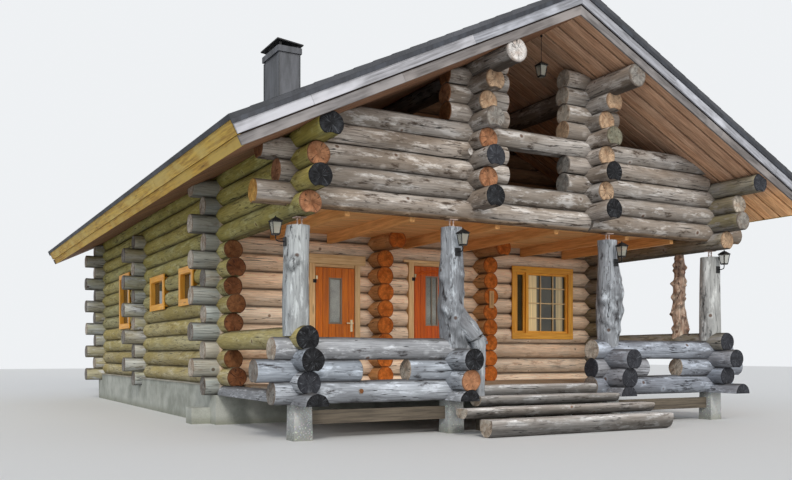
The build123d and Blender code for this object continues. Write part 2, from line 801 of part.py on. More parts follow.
with BuildPart() as joists:
    outer = half_width - outer_joist_in
    for x in [side * place for side in (-1, 1) for place in (*inner_joists, outer)]:
        box((x - balcony_joist_width / 2, log_face + seat, joist_top - balcony_joist_depth),
            (x + balcony_joist_width / 2, front_wall - log_face - seat, joist_top))
finish("balcony_joists", joists)

# Doors
casing_face = front_wall - log_radius - casing - seat
casing_back = casing_face + casing
lining_back = casing_face + jamb_depth
frame_hinges = []


def add_hinge_half(pin_x, pin_y, foot, inset, face, side):
    """A knuckle round the pin with its plate, on the right or left of the pin against a face."""
    with Locations((pin_x, pin_y, foot + knuckle / 2)):
        Cylinder(pin_radius, knuckle)
    near = pin_x + side * inset
    box((near, pin_y, foot), (near + side * hinge_web, face - seat, foot + knuckle))
    box((near + side * hinge_web / 2, face - hinge_plate, foot),
        (near + side * hinge_plate_width, face - seat, foot + knuckle))


for name, x in doors.items():
    left = x - door_width / 2 + seat
    right = x + door_width / 2 - seat
    sill = seam(door_sill_row) + seat
    head = door_tops[name] - seat
    with BuildPart() as frame:
        for inner, outer_side, sign in ((left + jamb, left, -1), (right - jamb, right, 1)):
            lining = sorted((outer_side, inner))
            box((lining[0], casing_back, sill), (lining[1], lining_back, head))
            trim = sorted((outer_side + sign * casing_lap, inner))
            box((trim[0], casing_face, sill), (trim[1], casing_back, head))
        box((left + jamb + seat, casing_back, head - jamb), (right - jamb - seat, lining_back, head))
        box((left + jamb + seat, casing_back, sill), (right - jamb - seat, lining_back, sill + threshold))
        box((left - head_lap, casing_face, head + seat),
            (right + head_lap, casing_back, head + seat + head_heights[name]))
        stop_face = casing_face + leaf_sunk + leaf_thickness + stop_clear
        for inner, sign in ((left + jamb + seat, 1), (right - jamb - seat, -1)):
            strip = sorted((inner, inner + sign * stop_width))
            box((strip[0], stop_face, sill + threshold + seat),
                (strip[1], stop_face + stop_thickness, head - jamb - seat))
    finish(f"{name}_door_frame", frame)

    leaf_left = left + jamb + door_gap
    leaf_right = right - jamb - door_gap
    leaf_foot = sill + threshold + door_gap
    leaf_head = head - jamb - door_gap
    leaf_face = casing_face + leaf_sunk
    lites = [0] if name == "left" else [-twin_lite_gap / 2, twin_lite_gap / 2]
    width = lite_width if name == "left" else twin_lite_width
    lite_high = leaf_head - lite_top_margin
    lite_low = lite_high - lite_heights[name]
    centre = (leaf_left + leaf_right) / 2
    with BuildPart() as leaf:
        box((leaf_left, leaf_face, leaf_foot), (leaf_right, leaf_face + leaf_thickness, leaf_head))
        for offset_x in lites:
            box((centre + offset_x - width / 2, leaf_face, lite_low),
                (centre + offset_x + width / 2, leaf_face + leaf_thickness, lite_high), Mode.SUBTRACT)
    finish(f"{name}_door_leaf", leaf)
    with BuildPart() as lite:
        glass_face = leaf_face + leaf_thickness / 2 - pane / 2
        for offset_x in lites:
            box((centre + offset_x - width / 2 + seat, glass_face, lite_low + seat),
                (centre + offset_x + width / 2 - seat, glass_face + pane, lite_high - seat))
    finish(f"{name}_door_glass", lite)

    grip_x = leaf_right - handle_inset
    grip_z = deck_top + handle_height
    with BuildPart() as handle:
        for face, out in ((leaf_face, -1), (leaf_face + leaf_thickness, 1)):
            plate = sorted((face + out * seat, face + out * 8))
            box((grip_x - 20, plate[0], grip_z - 140), (grip_x + 20, plate[1], grip_z + 60))
            neck = sorted((face + out * 8, face + out * 55))
            box((grip_x - 9, neck[0], grip_z - 9), (grip_x + 9, neck[1], grip_z + 9))
            lever = sorted((face + out * 55, face + out * 73))
            box((grip_x - 115, lever[0], grip_z - 9), (grip_x + 9, lever[1], grip_z + 9))

    pin_x = leaf_left - pin_inset
    pin_y = leaf_face - pin_forward
    with BuildPart() as knuckles:
        for height in (leaf_foot + hinge_inset, leaf_head - hinge_inset):
            add_hinge_half(pin_x, pin_y, height, 0, leaf_face, 1)
    with BuildPart() as fixed_knuckles:
        for height in (leaf_foot + hinge_inset, leaf_head - hinge_inset):
            add_hinge_half(pin_x, pin_y, height - knuckle - seat, pin_inset, casing_face, -1)
    frame_hinges.append(fixed_knuckles)
    finish(f"{name}_door_fittings", handle, knuckles)
finish("door_frame_hinges", *frame_hinges)

# Windows, placed by how far along their wall, how far out from its centre line, and how high
wall_axes = {"front": lambda along, out, up: (along, front_wall - out, up),
             "rear": lambda along, out, up: (along, rear_wall + out, up),
             "left": lambda along, out, up: (-half_width - out, along, up),
             "right": lambda along, out, up: (half_width + out, along, up)}


def wall_box(wall, low, high, mode=Mode.ADD):
    """A block on a wall, between two corners given along it, out from it and up."""
    box(wall_axes[wall](*low), wall_axes[wall](*high), mode)


side_windows = [(y, width, seam(bottom), seam(top)) for y, width, bottom, top in window_side_rows]
rear_x, rear_width, rear_bottom, rear_top = window_rear
windows = {"front": [(window_front[0], window_front[1], seam(window_front[2]), seam(window_front[3]))],
           "left": side_windows,
           "right": side_windows,
           "rear": [(side * rear_x, rear_width, seam(rear_bottom - 0.5), seam(rear_top - 0.5))
                    for side in (-1, 1)]}
trim_back = log_radius + seat
trim_front = trim_back + window_casing
bar_back = pane_out + pane + seat
with BuildPart() as frames:
    for wall, openings in windows.items():
        for centre, width, bottom, top in openings:
            half = width / 2 - seat
            low = bottom + seat
            high = top - seat
            wall_box(wall, (centre - half - window_lap, trim_back, low - window_lap),
                     (centre + half + window_lap, trim_front, high + window_lap))
            wall_box(wall, (centre - half, trim_back - window_lining, low), (centre + half, trim_back, high))
            wall_box(wall, (centre - half + window_jamb, trim_back - window_lining, low + window_jamb),
                     (centre + half - window_jamb, trim_front, high - window_jamb), Mode.SUBTRACT)
    centre, width, bottom, top = windows["front"][0]
    low = bottom + 2 * seat + window_jamb
    high = top - 2 * seat - window_jamb
    left = mullion + mullion_width / 2
    right = centre + width / 2 - 2 * seat - window_jamb
    wall_box("front", (mullion - mullion_width / 2, bar_back, low), (left, trim_front, high))
    for share in (1 / 3, 2 / 3):
        x = left + share * (right - left)
        wall_box("front", (x - bar / 2, bar_back, low), (x + bar / 2, bar_back + bar, high))
    for share in (1 / 4, 2 / 4, 3 / 4):
        z = low + share * (high - low)
        wall_box("front", (left, bar_back, z - bar / 2), (right, bar_back + bar, z + bar / 2))
finish("window_frames", frames)

with BuildPart() as panes:
    for wall, openings in windows.items():
        for centre, width, bottom, top in openings:
            half = width / 2 - 2 * seat - window_jamb
            wall_box(wall, (centre - half, pane_out, bottom + 2 * seat + window_jamb),
                     (centre + half, pane_out + pane, top - 2 * seat - window_jamb))
finish("window_glass", panes)

# Lanterns: one beside or before each post, and one hanging under the ridge
lantern_steps = ((0, 0.55), (0.7, 0.85), (0.7, 1.0), (1, 0.12))


def lantern(x, y, base):
    """A tapered square body under a hipped lid."""
    add_banded([(base + share * lantern_height, size * lantern_width / sqrt(2), x, y)
                for share, size in lantern_steps], 4, pi / 4)


with BuildPart() as lanterns:
    for (name, x, foot_row, head_row, bands), out_x, out_y, y in zip(posts, (-1, 0, 0, 0), (0, -1, -1, -1),
                                                                     (-40, 0, 0, 0)):
        plate_foot = lantern_base - lantern_plate
        radius, x, lean = ring_at(plate_foot, post_rings(x, foot_row, head_row, bands))
        y += lean
        near = radius + seat
        far = near + lantern_reach
        lantern(x + out_x * far, y + out_y * far, lantern_base)
        wide = arm / 2 * abs(out_y)
        deep = arm / 2 * abs(out_x)
        box((x + out_x * near - wide, y + out_y * near - deep, lantern_base - 2 * arm),
            (x + out_x * far + wide, y + out_y * far + deep, lantern_base + arm / 4))
        box((x + out_x * near - 4 * wide, y + out_y * near - 4 * deep, plate_foot),
            (x + out_x * (near + arm / 2) + 4 * wide, y + out_y * (near + arm / 2) + 4 * deep, lantern_base))

with BuildPart() as hanging:
    hook = ridge_under - rod / 2 * pitch_rise - seat
    base = hook - hanging_drop - lantern_height
    lantern(0, hanging_lantern_y, base)
    box((-rod / 2, hanging_lantern_y - rod / 2, base + 0.8 * lantern_height),
        (rod / 2, hanging_lantern_y + rod / 2, hook))
finish("lanterns", lanterns, hanging)
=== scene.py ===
"""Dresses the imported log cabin: round scribed logs, gnarled posts, boards, doors, windows and lanterns.

Lengths are in metres. X runs along the gable front, Y from the front to the back, Z up. A row number
counts courses of logs: whole rows run along X and half rows along Y, as in the part's source.
"""
from math import atan, ceil, cos, pi, radians, sin, tan

import bpy
import numpy as np
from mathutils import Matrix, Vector


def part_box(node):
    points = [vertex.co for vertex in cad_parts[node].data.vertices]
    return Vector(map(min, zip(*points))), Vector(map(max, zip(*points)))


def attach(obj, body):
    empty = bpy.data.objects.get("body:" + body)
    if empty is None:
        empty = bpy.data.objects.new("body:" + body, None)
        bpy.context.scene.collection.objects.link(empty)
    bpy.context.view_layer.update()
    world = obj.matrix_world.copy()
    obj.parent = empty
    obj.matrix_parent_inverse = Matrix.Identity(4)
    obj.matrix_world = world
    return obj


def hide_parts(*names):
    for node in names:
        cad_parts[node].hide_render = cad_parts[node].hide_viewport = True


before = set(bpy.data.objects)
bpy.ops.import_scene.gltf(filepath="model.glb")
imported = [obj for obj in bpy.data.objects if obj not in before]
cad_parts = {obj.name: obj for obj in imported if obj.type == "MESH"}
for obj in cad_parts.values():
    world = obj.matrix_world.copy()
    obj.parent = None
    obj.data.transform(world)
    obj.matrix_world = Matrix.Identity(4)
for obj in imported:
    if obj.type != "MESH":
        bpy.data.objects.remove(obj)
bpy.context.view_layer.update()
rng = np.random.default_rng(41)

# The cabin's own sizes: the rows of logs, the walls, then the roof
course = 0.281
pier_course = 0.260
first_log = 0.600
plate_row = 11.5
log_radius = 0.158
seat = 0.0003
half_width = 3.750
pier_line = 1.080
inner_post = 1.450
purlin_radius = 0.170
purlin_row = 16.5
pitch_rise = 0.487
pitch = atan(pitch_rise)
ridge_under = 5.78775
roof_half_width = 5.030
roof_depth = 0.360
slab_depth = 0.300
front_verge = -1.080
rear_verge = 13.556
eave_run = (roof_half_width - roof_depth * sin(pitch)) / cos(pitch)


def seam(row):
    """Height of a seam: even courses up to the wall plate, then the lower courses of the piers."""
    plain = min(row, plate_row)
    return first_log + plain * course + (row - plain) * pier_course


def middle(row):
    """Height of a log's axis, half way between its seams."""
    return (seam(row + 0.5) + seam(row - 0.5)) / 2


def slope(run, rise, side):
    """Point of a roof slope: run down it from the ridge, rise square out of its underside."""
    return (side * (run * cos(pitch) + rise * sin(pitch)), ridge_under - run * sin(pitch) + rise * cos(pitch))


# Colours, as seen on a screen, turned into linear light


def colour(red, green, blue):
    """A screen colour of 0 to 255 as linear light: the standard curve, near a power of 2.2."""
    shares = (red / 255, green / 255, blue / 255)
    return tuple(((s + 0.055) / 1.055) ** 2.4 if s > 0.04 else s / 12.92 for s in shares)


BLACK = colour(24, 24, 26)
CHARCOAL = colour(46, 47, 52)
GREY = colour(140, 136, 130)
GREEN_GREY = colour(122, 120, 104)
PALE = colour(190, 180, 166)
WHITE = colour(214, 210, 206)
ORANGE = colour(168, 120, 88)
PALE_ORANGE = colour(186, 158, 130)
GOLDEN = colour(206, 160, 84)
BROWN = colour(132, 88, 56)
RED_BROWN = colour(122, 78, 50)
STUB_ORANGE = colour(206, 116, 50)
# Colour of the painted shade, with some grime, in the seams between lying logs
SEAM_SHADE_AND_DIRT = colour(46, 38, 32)
EDGE_STAIN = colour(70, 56, 46)
WARM_STAIN = colour(196, 170, 150)
COLD_STAIN = colour(96, 100, 106)
COLD_CRACK = colour(120, 124, 130)
MOSS = colour(104, 106, 84)
CURTAIN = colour(250, 226, 166)
# How strongly drying cracks show in a sawn end of each colour
crack_share = {BLACK: 0.3, CHARCOAL: 0.4, GREY: 0.7, GREEN_GREY: 0.7, PALE: 0.6, WHITE: 1.0, ORANGE: 0.75,
               PALE_ORANGE: 0.65, GOLDEN: 0.3, BROWN: 0.5, RED_BROWN: 0.8, STUB_ORANGE: 0.4}


# Shader arithmetic


class Signal:
    """A socket of a finish that takes part in arithmetic through Math nodes."""

    def __init__(self, finish, socket):
        self.finish = finish
        self.socket = socket

    def math(self, operation, *values):
        return self.finish.node("ShaderNodeMath", {"operation": operation}, dict(enumerate(values)))

    def __add__(self, other):
        return self.math("ADD", self, other)

    def __radd__(self, other):
        return self.math("ADD", other, self)

    def __sub__(self, other):
        return self.math("SUBTRACT", self, other)

    def __rsub__(self, other):
        return self.math("SUBTRACT", other, self)

    def __mul__(self, other):
        return self.math("MULTIPLY", self, other)

    def __rmul__(self, other):
        return self.math("MULTIPLY", other, self)

    def __abs__(self):
        return self.math("ABSOLUTE", self)

    def step(self, low, high):
        """Rises smoothly from 0 at low to 1 at high, or falls where low is above high."""
        flipped = low > high
        ends = (high, low) if flipped else (low, high)
        rise = self.finish.node("ShaderNodeMapRange", {"interpolation_type": "SMOOTHSTEP", "clamp": True},
                                {"Value": self, "From Min": ends[0], "From Max": ends[1]})
        return 1.0 - rise if flipped else rise


class Finish:
    """A material and the few kinds of step that its nodes are written with.

    What is the same all over the surface is set on the shader's own sockets.
    """

    def __init__(self, name, roughness, **constants):
        self.material = bpy.data.materials.new(name)
        self.material.use_nodes = True
        self.tree = self.material.node_tree
        self.surface = self.tree.nodes["Principled BSDF"]
        self.surface.inputs["Roughness"].default_value = roughness
        for socket, value in constants.items():
            self.surface.inputs[socket.replace("_", " ")].default_value = value

    def node(self, kind, settings, inputs, output=0):
        """Adds a node, makes its settings first, then fills its sockets with values or links."""
        added = self.tree.nodes.new(kind)
        for key, value in settings.items():
            setattr(added, key, value)
        for key, value in inputs.items():
            self.fill(added.inputs[key], value)
        return Signal(self, added.outputs[output])

    def fill(self, socket, value):
        """Links a signal to a socket, or sets a number or colour on it."""
        if isinstance(value, Signal):
            self.tree.links.new(value.socket, socket)
        elif socket.type == "RGBA" and not isinstance(value, (int, float)):
            socket.default_value = (*value, 1)[:4]
        else:
            socket.default_value = value

    def attribute(self, name, output=1):
        """A named attribute of the mesh: output 0 its colour, 1 its vector, 3 its alpha."""
        return self.node("ShaderNodeAttribute", {"attribute_name": name}, {}, output)

    def object_place(self):
        """A point's place on the object."""
        return self.node("ShaderNodeTexCoord", {}, {}, 3)

    def stretched(self, place, scale, offset=(0, 0, 0)):
        """A place scaled and then shifted along each axis."""
        return self.node("ShaderNodeVectorMath", {"operation": "MULTIPLY_ADD"},
                         {0: place, 1: scale, 2: offset})

    def noise(self, place, scale=1.0, detail=3.0, roughness=0.5):
        """Cloudy noise from 0 to 1, mostly near a half."""
        return self.node("ShaderNodeTexNoise", {}, {"Vector": place, "Scale": scale, "Detail": detail,
                                                    "Roughness": roughness})

    def cells(self, place, scale=1.0, output=0):
        """Cells round random points: output 0 the distance to the nearest, 1 a random colour for each."""
        return self.node("ShaderNodeTexVoronoi", {}, {"Vector": place, "Scale": scale}, output)

    def split(self, place, part):
        """One part of a vector or colour: 0, 1 or 2."""
        return self.node("ShaderNodeSeparateXYZ", {}, {0: place}, part)

    def mix(self, share, first, second):
        """Goes from the first colour to the second as share goes from 0 to 1."""
        return self.node("ShaderNodeMix", {"data_type": "RGBA"}, {0: share, 6: first, 7: second}, 2)

    def shaded(self, tone, amount):
        """A colour darkened or lightened by a number."""
        return self.node("ShaderNodeVectorMath", {"operation": "SCALE"}, {0: tone, "Scale": amount})

    def times(self, first, second):
        """The product of two colours."""
        return self.node("ShaderNodeMix", {"data_type": "RGBA", "blend_type": "MULTIPLY"},
                         {0: 1.0, 6: first, 7: second}, 2)

    def wear(self, tone, roughness, height, depth, strength):
        """Feeds the surface: its colour, its roughness, and the height that its bump follows."""
        bump = self.node("ShaderNodeBump", {}, {"Height": height, "Distance": depth, "Strength": strength})
        for socket, value in (("Base Color", tone), ("Roughness", roughness), ("Normal", bump)):
            self.fill(self.surface.inputs[socket], value)
        return self.material


# Finishes

# Radians of the rings' sine for each metre from the heart, or a ring every 12 mm
year_rings = 520.0


def log_sides(name, base, pale, dark, mottle=0.7, lying_log_shade=0.75, cracks=0.9):
    """Peeled log: fine grain, pale and dark weathered patches, drying cracks, knots.

    A log that lies has painted light: it is lighter above and darker below. Its seams are darker, as painted
    shade with some grime.
    """
    f = Finish(name, roughness=0.85, Specular_IOR_Level=0.25)
    place = f.attribute("grain")
    broad = f.noise(f.stretched(place, (0.8, 3.0, 3.0)), 1.0, 4.0, 0.6)
    patch = f.noise(f.stretched(place, (3.4, 11.0, 11.0), (7, 3, 1)), 1.0, 5.0, 0.68)
    bloom = f.noise(f.stretched(place, (2.2, 8.0, 8.0), (1, 17, 5)), 1.0, 5.0, 0.7)
    streak = f.noise(f.stretched(place, (3.0, 64.0, 64.0)), 1.0, 4.0, 0.65)
    check = f.noise(f.stretched(place, (0.7, 17.0, 17.0), (3, 9, 5)), 1.0, 2.0, 0.5)
    crack = abs(check - 0.5).step(0.013, 0.003) * broad.step(0.44, 0.56)
    spot = f.cells(place, 4.6)
    some = f.split(f.cells(place, 4.6, 1), 0).step(0.70, 0.74)
    knot = spot.step(0.17, 0.09) * some
    halo = spot.step(0.34, 0.18) * some
    seam_shade_mask = abs(f.split(place, 2)).step(0.100, 0.152)
    tone = f.mix(broad.step(0.36, 0.66), base, f.mix(0.5, base, pale))
    tone = f.mix(bloom.step(0.52, 0.64) * mottle, tone, pale)
    tone = f.mix(patch.step(0.54, 0.68) * mottle, tone, dark)
    tone = f.shaded(tone, streak.step(0.3, 0.7) * 0.42 + 0.76)
    # Painted light: the top of a lying log lighter and its underside darker
    if lying_log_shade:
        tone = f.shaded(tone, f.split(place, 2).step(-0.13, 0.10) * 0.42 + 0.72)
    tone = f.mix(halo * 0.35, tone, pale)
    tone = f.mix(knot * 0.85, tone, f.shaded(f.mix(0.6, dark, BROWN), 0.6))
    tone = f.times(tone, f.attribute("tint", 0))
    tone = f.mix(crack * cracks, tone, BLACK)
    # Painted shade in the seams between logs, with some grime
    tone = f.mix(seam_shade_mask * lying_log_shade, tone, SEAM_SHADE_AND_DIRT)
    height = streak * 0.3 + patch * 0.5 + bloom * 0.3 - crack + knot * 0.5
    return f.wear(tone, streak * 0.2 + 0.72, height, 0.008, 0.8)


def log_ends(name):
    """Sawn end of a log: its own colour, year rings round a darker heart, cracks running out from it.

    The colour's alpha says how strongly the cracks show. Dark ends carry their rings and cracks in grey.
    """
    f = Finish(name, roughness=0.88, Specular_IOR_Level=0.15)
    place = f.attribute("grain")
    across = f.stretched(place, (0.0, 1.0, 1.0))
    wander = f.noise(place, 9.0, 2.0)
    radius = f.node("ShaderNodeVectorMath", {"operation": "LENGTH"}, {0: across}, 1)
    turns = (radius + wander * 0.02) * year_rings
    ring = f.node("ShaderNodeMath", {"operation": "SINE"}, {0: turns}) * 0.5 + 0.5
    direction = f.node("ShaderNodeVectorMath", {"operation": "NORMALIZE"}, {0: across})
    star_place = f.node("ShaderNodeVectorMath", {"operation": "ADD"}, {0: direction, 1: place})
    star = f.noise(f.stretched(star_place, (1.0, 1.6, 1.6)), 1.6, 1.0)
    crack = abs(star - 0.5).step(0.020, 0.004) * radius.step(0.01, 0.03) * radius.step(0.16, 0.12)
    stain = f.noise(place, 16.0, 4.0, 0.65)
    cloud = f.noise(place, 7.0, 3.0, 0.6)
    own = f.attribute("end_colour", 0)
    dark = f.split(f.attribute("end_colour", 1), 0).step(0.075, 0.045)
    pale = 1.0 - dark
    strength = f.attribute("end_colour", 3)
    heart = (radius + wander * 0.05).step(0.075, 0.035)
    bloom = cloud.step(0.50, 0.70) * 0.14 + ring * stain.step(0.45, 0.65) * 0.16
    tone = f.shaded(own, stain.step(0.3, 0.7) * 0.5 + 0.72)
    tone = f.mix(pale * ring * 0.28, tone, f.shaded(tone, 0.62))
    tone = f.mix(pale * cloud.step(0.44, 0.64) * 0.55, tone, f.times(tone, WARM_STAIN))
    tone = f.mix(pale * heart * 0.5, tone, f.shaded(tone, 0.6))
    tone = f.mix(dark * bloom, tone, COLD_STAIN)
    tone = f.mix(pale * radius.step(0.125, 0.158) * 0.55, tone, EDGE_STAIN)
    tone = f.mix(crack * strength, tone, f.mix(dark, BLACK, COLD_CRACK))
    return f.wear(tone, stain * 0.2 + 0.72, ring * 0.3 - crack * 1.5 + stain * 0.4, 0.004, 0.7)


def board(name, base, dark, place=None, stretch=(2.0, 40.0, 40.0), coat=0.0, grey=None, rough=0.7):
    """Sawn or planed board: straight grain, a slow change of tone, small knots, weathering to grey.

    On a piece its grain follows the grain attribute; on a CAD node it follows the object's own place.
    """
    f = Finish(name, roughness=rough, Specular_IOR_Level=0.3, Coat_Weight=coat)
    on_object = place == "object"
    spot = f.object_place() if on_object else f.attribute("grain")
    streak = f.noise(f.stretched(spot, stretch), 1.0, 4.0, 0.65)
    slow = f.noise(f.stretched(spot, tuple(min(s, 5.0) * 0.6 for s in stretch)), 1.0, 3.0, 0.6)
    knot = f.cells(f.stretched(spot, tuple(max(s / 6.0, 0.9) for s in stretch)), 1.0).step(0.11, 0.05)
    tone = f.mix(streak.step(0.3, 0.7), dark, base)
    if grey is not None:
        tone = f.mix(slow.step(0.42, 0.62) * 0.8, tone, grey)
    tone = f.shaded(tone, slow * 0.5 + 0.75)
    tone = f.mix(knot * 0.7, tone, f.shaded(tone, 0.35))
    if not on_object:
        tone = f.times(tone, f.attribute("tint", 0))
    return f.wear(tone, streak * 0.2 + (rough - 0.1), streak * 0.6 + knot * 0.5, 0.0016, 0.5)


def concrete(name, base, dark, pebbles=0.0):
    """Cast concrete: cloudy and pitted, mossy at its foot, plain or set with small pebbles."""
    f = Finish(name, roughness=0.9)
    place = f.object_place()
    cloud = f.noise(place, 2.2, 5.0, 0.6)
    fine = f.noise(place, 60.0, 3.0, 0.6)
    pit = f.cells(place, 34.0).step(0.16, 0.05)
    tone = f.mix(cloud.step(0.3, 0.7), dark, base)
    tone = f.shaded(tone, fine * 0.4 + 0.8)
    height = fine * 0.5 - pit * 0.8
    if pebbles:
        stone = f.cells(place, 38.0)
        chance = f.cells(place, 38.0, 1)
        stone_tone = f.shaded(f.mix(0.8, chance, base), f.split(chance, 1) * 0.9 + 0.65)
        tone = f.mix(stone.step(0.46, 0.26) * pebbles, tone, stone_tone)
        height = height + stone.step(0.5, 0.1) * 1.4
    tone = f.mix(pit * 0.5, tone, f.shaded(tone, 0.4))
    tone = f.mix(f.split(place, 2).step(0.16, 0.0) * cloud * 0.9, tone, MOSS)
    return f.wear(tone, fine * 0.15 + 0.8, height, 0.004, 0.7)


def sheet_metal(name, base, dark, rough=0.45, metallic=0.4):
    """Painted sheet: rain streaks, dull spots and small dents."""
    f = Finish(name, roughness=rough, Metallic=metallic)
    place = f.object_place()
    streak = f.noise(f.stretched(place, (6.0, 6.0, 1.0)), 1.0, 4.0, 0.6)
    dust = f.noise(place, 18.0, 4.0, 0.6)
    dent = f.noise(place, 3.0, 1.0)
    tone = f.mix(streak.step(0.35, 0.68), dark, base)
    tone = f.shaded(tone, dust * 0.5 + 0.75)
    return f.wear(tone, dust * 0.3 + (rough - 0.1), dent + dust * 0.05, 0.006, 0.35)


def glazing(name, tone, pattern=0.0, curtains=()):
    """Window glass, opaque, in a tone that stands for an unlit room as painted shade, with curtains painted
    as if close behind it, or pressed glass with a fine pattern. Lighter clouds on either glass are a painted
    reflection.

    Each curtain runs from one place along X to another and hides a share of the room; its folds are painted
    lighter and darker, as light and shade.
    """
    f = Finish(name, roughness=0.06, Specular_IOR_Level=0.6)
    place = f.object_place()
    cloud = f.noise(place, 1.3, 3.0, 0.6)
    # Painted reflection: lighter clouds over the glass
    shade = f.mix(cloud.step(0.38, 0.68), tone, f.shaded(tone, 2.2))
    if pattern:
        cell = f.cells(place, 42.0)
        shade = f.mix(cell.step(0.5, 0.2) * 0.5, shade, f.shaded(shade, 1.7))
        return f.wear(shade, cell * 0.2 + 0.15, cell, 0.003, pattern)
    fold = f.noise(f.stretched(place, (34.0, 34.0, 0.6)), 1.0, 2.0)
    across = f.split(place, 0) + fold * 0.06
    for start, end, share in curtains:
        drawn = across.step(start, start + 0.01) * across.step(end + 0.05, end) * share
        # Painted light and shade: each curtain's folds lighter and darker
        shade = f.mix(drawn, shade, f.shaded(CURTAIN, fold * 1.2 + 0.4))
    return f.wear(shade, cloud * 0.06 + 0.03, f.noise(place, 2.0, 1.0), 0.002, 0.15)


# Meshes

sharp_angle = 38.0
around_log = 28
station_gap = 0.09
end_bevel = 0.012


class Piece:
    """Closed tubes gathered into one mesh.

    A tube is an array of rings, each with the same number of points round it. Quads join ring to ring
    and a fan of triangles closes each end to the middle of its ring. Every vertex carries its place in
    the grain (along, across, up), a tint, and the colour of the sawn end nearest to it.
    """

    def __init__(self):
        self.points = []
        self.grain = []
        self.tints = []
        self.end_colours = []
        self.quads = []
        self.triangles = []
        self.quad_slots = []
        self.triangle_slots = []
        self.count = 0

    def tube(self, rings, grain, tint=(1, 1, 1), ends=(GREY, GREY), cut=0, slots=(0, 1)):
        """Adds a tube. Its first and last rings, cut of them, and its fans take the second of its slots."""
        rings = np.asarray(rings, float)
        number, around, _ = rings.shape
        poles = rings[[0, -1]].mean(axis=1)
        grain_poles = grain[[0, -1]].mean(axis=1)
        area = np.cross(rings, np.roll(rings, -1, axis=1)).sum(axis=1)
        turn = area @ (poles[1] - poles[0])
        outward = turn[np.argmax(abs(turn))] > 0
        index = self.count + np.arange(number * around).reshape(number, around)
        after = np.roll(index, -1, axis=1)
        quads = np.stack([index[:-1], after[:-1], after[1:], index[1:]], axis=-1).reshape(-1, 4)
        first, last = self.count + number * around, self.count + number * around + 1
        start_fan = np.stack([np.full(around, first), after[0], index[0]], axis=-1)
        end_fan = np.stack([np.full(around, last), index[-1], after[-1]], axis=-1)
        triangles = np.concatenate([start_fan, end_fan])
        if not outward:
            quads = quads[:, ::-1]
            triangles = triangles[:, ::-1]
        segment = np.repeat(np.arange(number - 1), around)
        self.quad_slots.append(np.where((segment < cut) | (segment >= number - 1 - cut), slots[1], slots[0]))
        self.triangle_slots.append(np.full(len(triangles), slots[1]))
        self.quads.append(quads)
        self.triangles.append(triangles)
        self.points.append(np.concatenate([rings.reshape(-1, 3), poles]))
        self.grain.append(np.concatenate([grain.reshape(-1, 3), grain_poles]))
        total = number * around + 2
        tint = np.asarray(tint, float)
        self.tints.append(np.broadcast_to(tint, (total, 3)) if tint.ndim == 1
                          else np.concatenate([tint.reshape(-1, 3), tint.reshape(-1, 3)[[0, -1]]]))
        half = np.repeat(np.arange(number) >= number / 2, around)
        first_end, last_end = ((*shade, crack_share[shade]) for shade in ends)
        shades = np.where(half[:, None], last_end, first_end)
        self.end_colours.append(np.concatenate([shades, [first_end, last_end]]))
        self.count += total

    def plank(self, low, high, axis, chamfer=0.003, tint=(1, 1, 1), slots=(0, 0)):
        """A board between two corners, its long edges planed off, with its grain along an axis."""
        low, high = np.minimum(low, high), np.maximum(low, high)
        second, third = [a for a in range(3) if a != axis]
        width, depth = (high - low)[[second, third]]
        profile = chamfered(width, depth, min(chamfer, width / 3, depth / 3))
        rings = np.zeros((2, len(profile), 3))
        for k, place in enumerate((low[axis], high[axis])):
            rings[k, :, axis] = place
            rings[k, :, second] = (low[second] + high[second]) / 2 + profile[:, 0]
            rings[k, :, third] = (low[third] + high[third]) / 2 + profile[:, 1]
        self.tube(rings, rings[:, :, [axis, second, third]] + rng.uniform(0, 30, 3), tint, slots=slots)

    def make(self, name, finishes, record_slot, body="cabin", stands_for=()):
        """Puts the arrays into a mesh object that rides on a body."""
        points = np.concatenate(self.points)
        corners = np.concatenate([np.concatenate(self.quads).ravel(), np.concatenate(self.triangles).ravel()])
        quad_count = sum(len(q) for q in self.quads)
        triangle_count = sum(len(t) for t in self.triangles)
        starts = np.concatenate([np.arange(quad_count) * 4, quad_count * 4 + np.arange(triangle_count) * 3])
        mesh = bpy.data.meshes.new(name)
        mesh.vertices.add(len(points))
        mesh.vertices.foreach_set("co", points.ravel())
        mesh.loops.add(len(corners))
        mesh.loops.foreach_set("vertex_index", corners.astype(np.int32))
        mesh.polygons.add(len(starts))
        mesh.polygons.foreach_set("loop_start", starts.astype(np.int32))
        for finish in finishes:
            mesh.materials.append(finish)
        slots = np.concatenate([np.concatenate(self.quad_slots), np.concatenate(self.triangle_slots)])
        mesh.polygons.foreach_set("material_index", np.minimum(slots, len(finishes) - 1).astype(np.int32))
        mesh.update(calc_edges=True)
        mesh.polygons.foreach_set("use_smooth", np.ones(len(starts), bool))
        mesh.set_sharp_from_angle(angle=radians(sharp_angle))
        grain = mesh.attributes.new("grain", "FLOAT_VECTOR", "POINT")
        grain.data.foreach_set("vector", np.concatenate(self.grain).ravel())
        for key, values in (("tint", self.tints), ("end_colour", self.end_colours)):
            shades = np.concatenate(values)
            if shades.shape[1] == 3:
                shades = np.concatenate([shades, np.ones((len(shades), 1))], axis=1)
            mesh.attributes.new(key, "FLOAT_COLOR", "POINT").data.foreach_set("color", shades.ravel())
        made = bpy.data.objects.new(name, mesh)
        bpy.context.scene.collection.objects.link(made)
        if stands_for:
            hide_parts(*stands_for)
        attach(made, body)


def chamfered(width, depth, cut):
    """Outline of a rectangle about its middle with its four corners cut off."""
    x, y = width / 2, depth / 2
    return np.array([(x, -y + cut), (x, y - cut), (x - cut, y), (cut - x, y),
                     (-x, y - cut), (-x, cut - y), (cut - x, -y), (x - cut, -y)])


def some_tint(spread=0.1, warmth=0.05):
    """A random tint near white: a little lighter or darker, a little warmer or cooler."""
    light = 1 + rng.uniform(-spread, spread)
    warm = rng.uniform(-warmth, warmth)
    return np.array([light * (1 + warm), light, light * (1 - warm)])


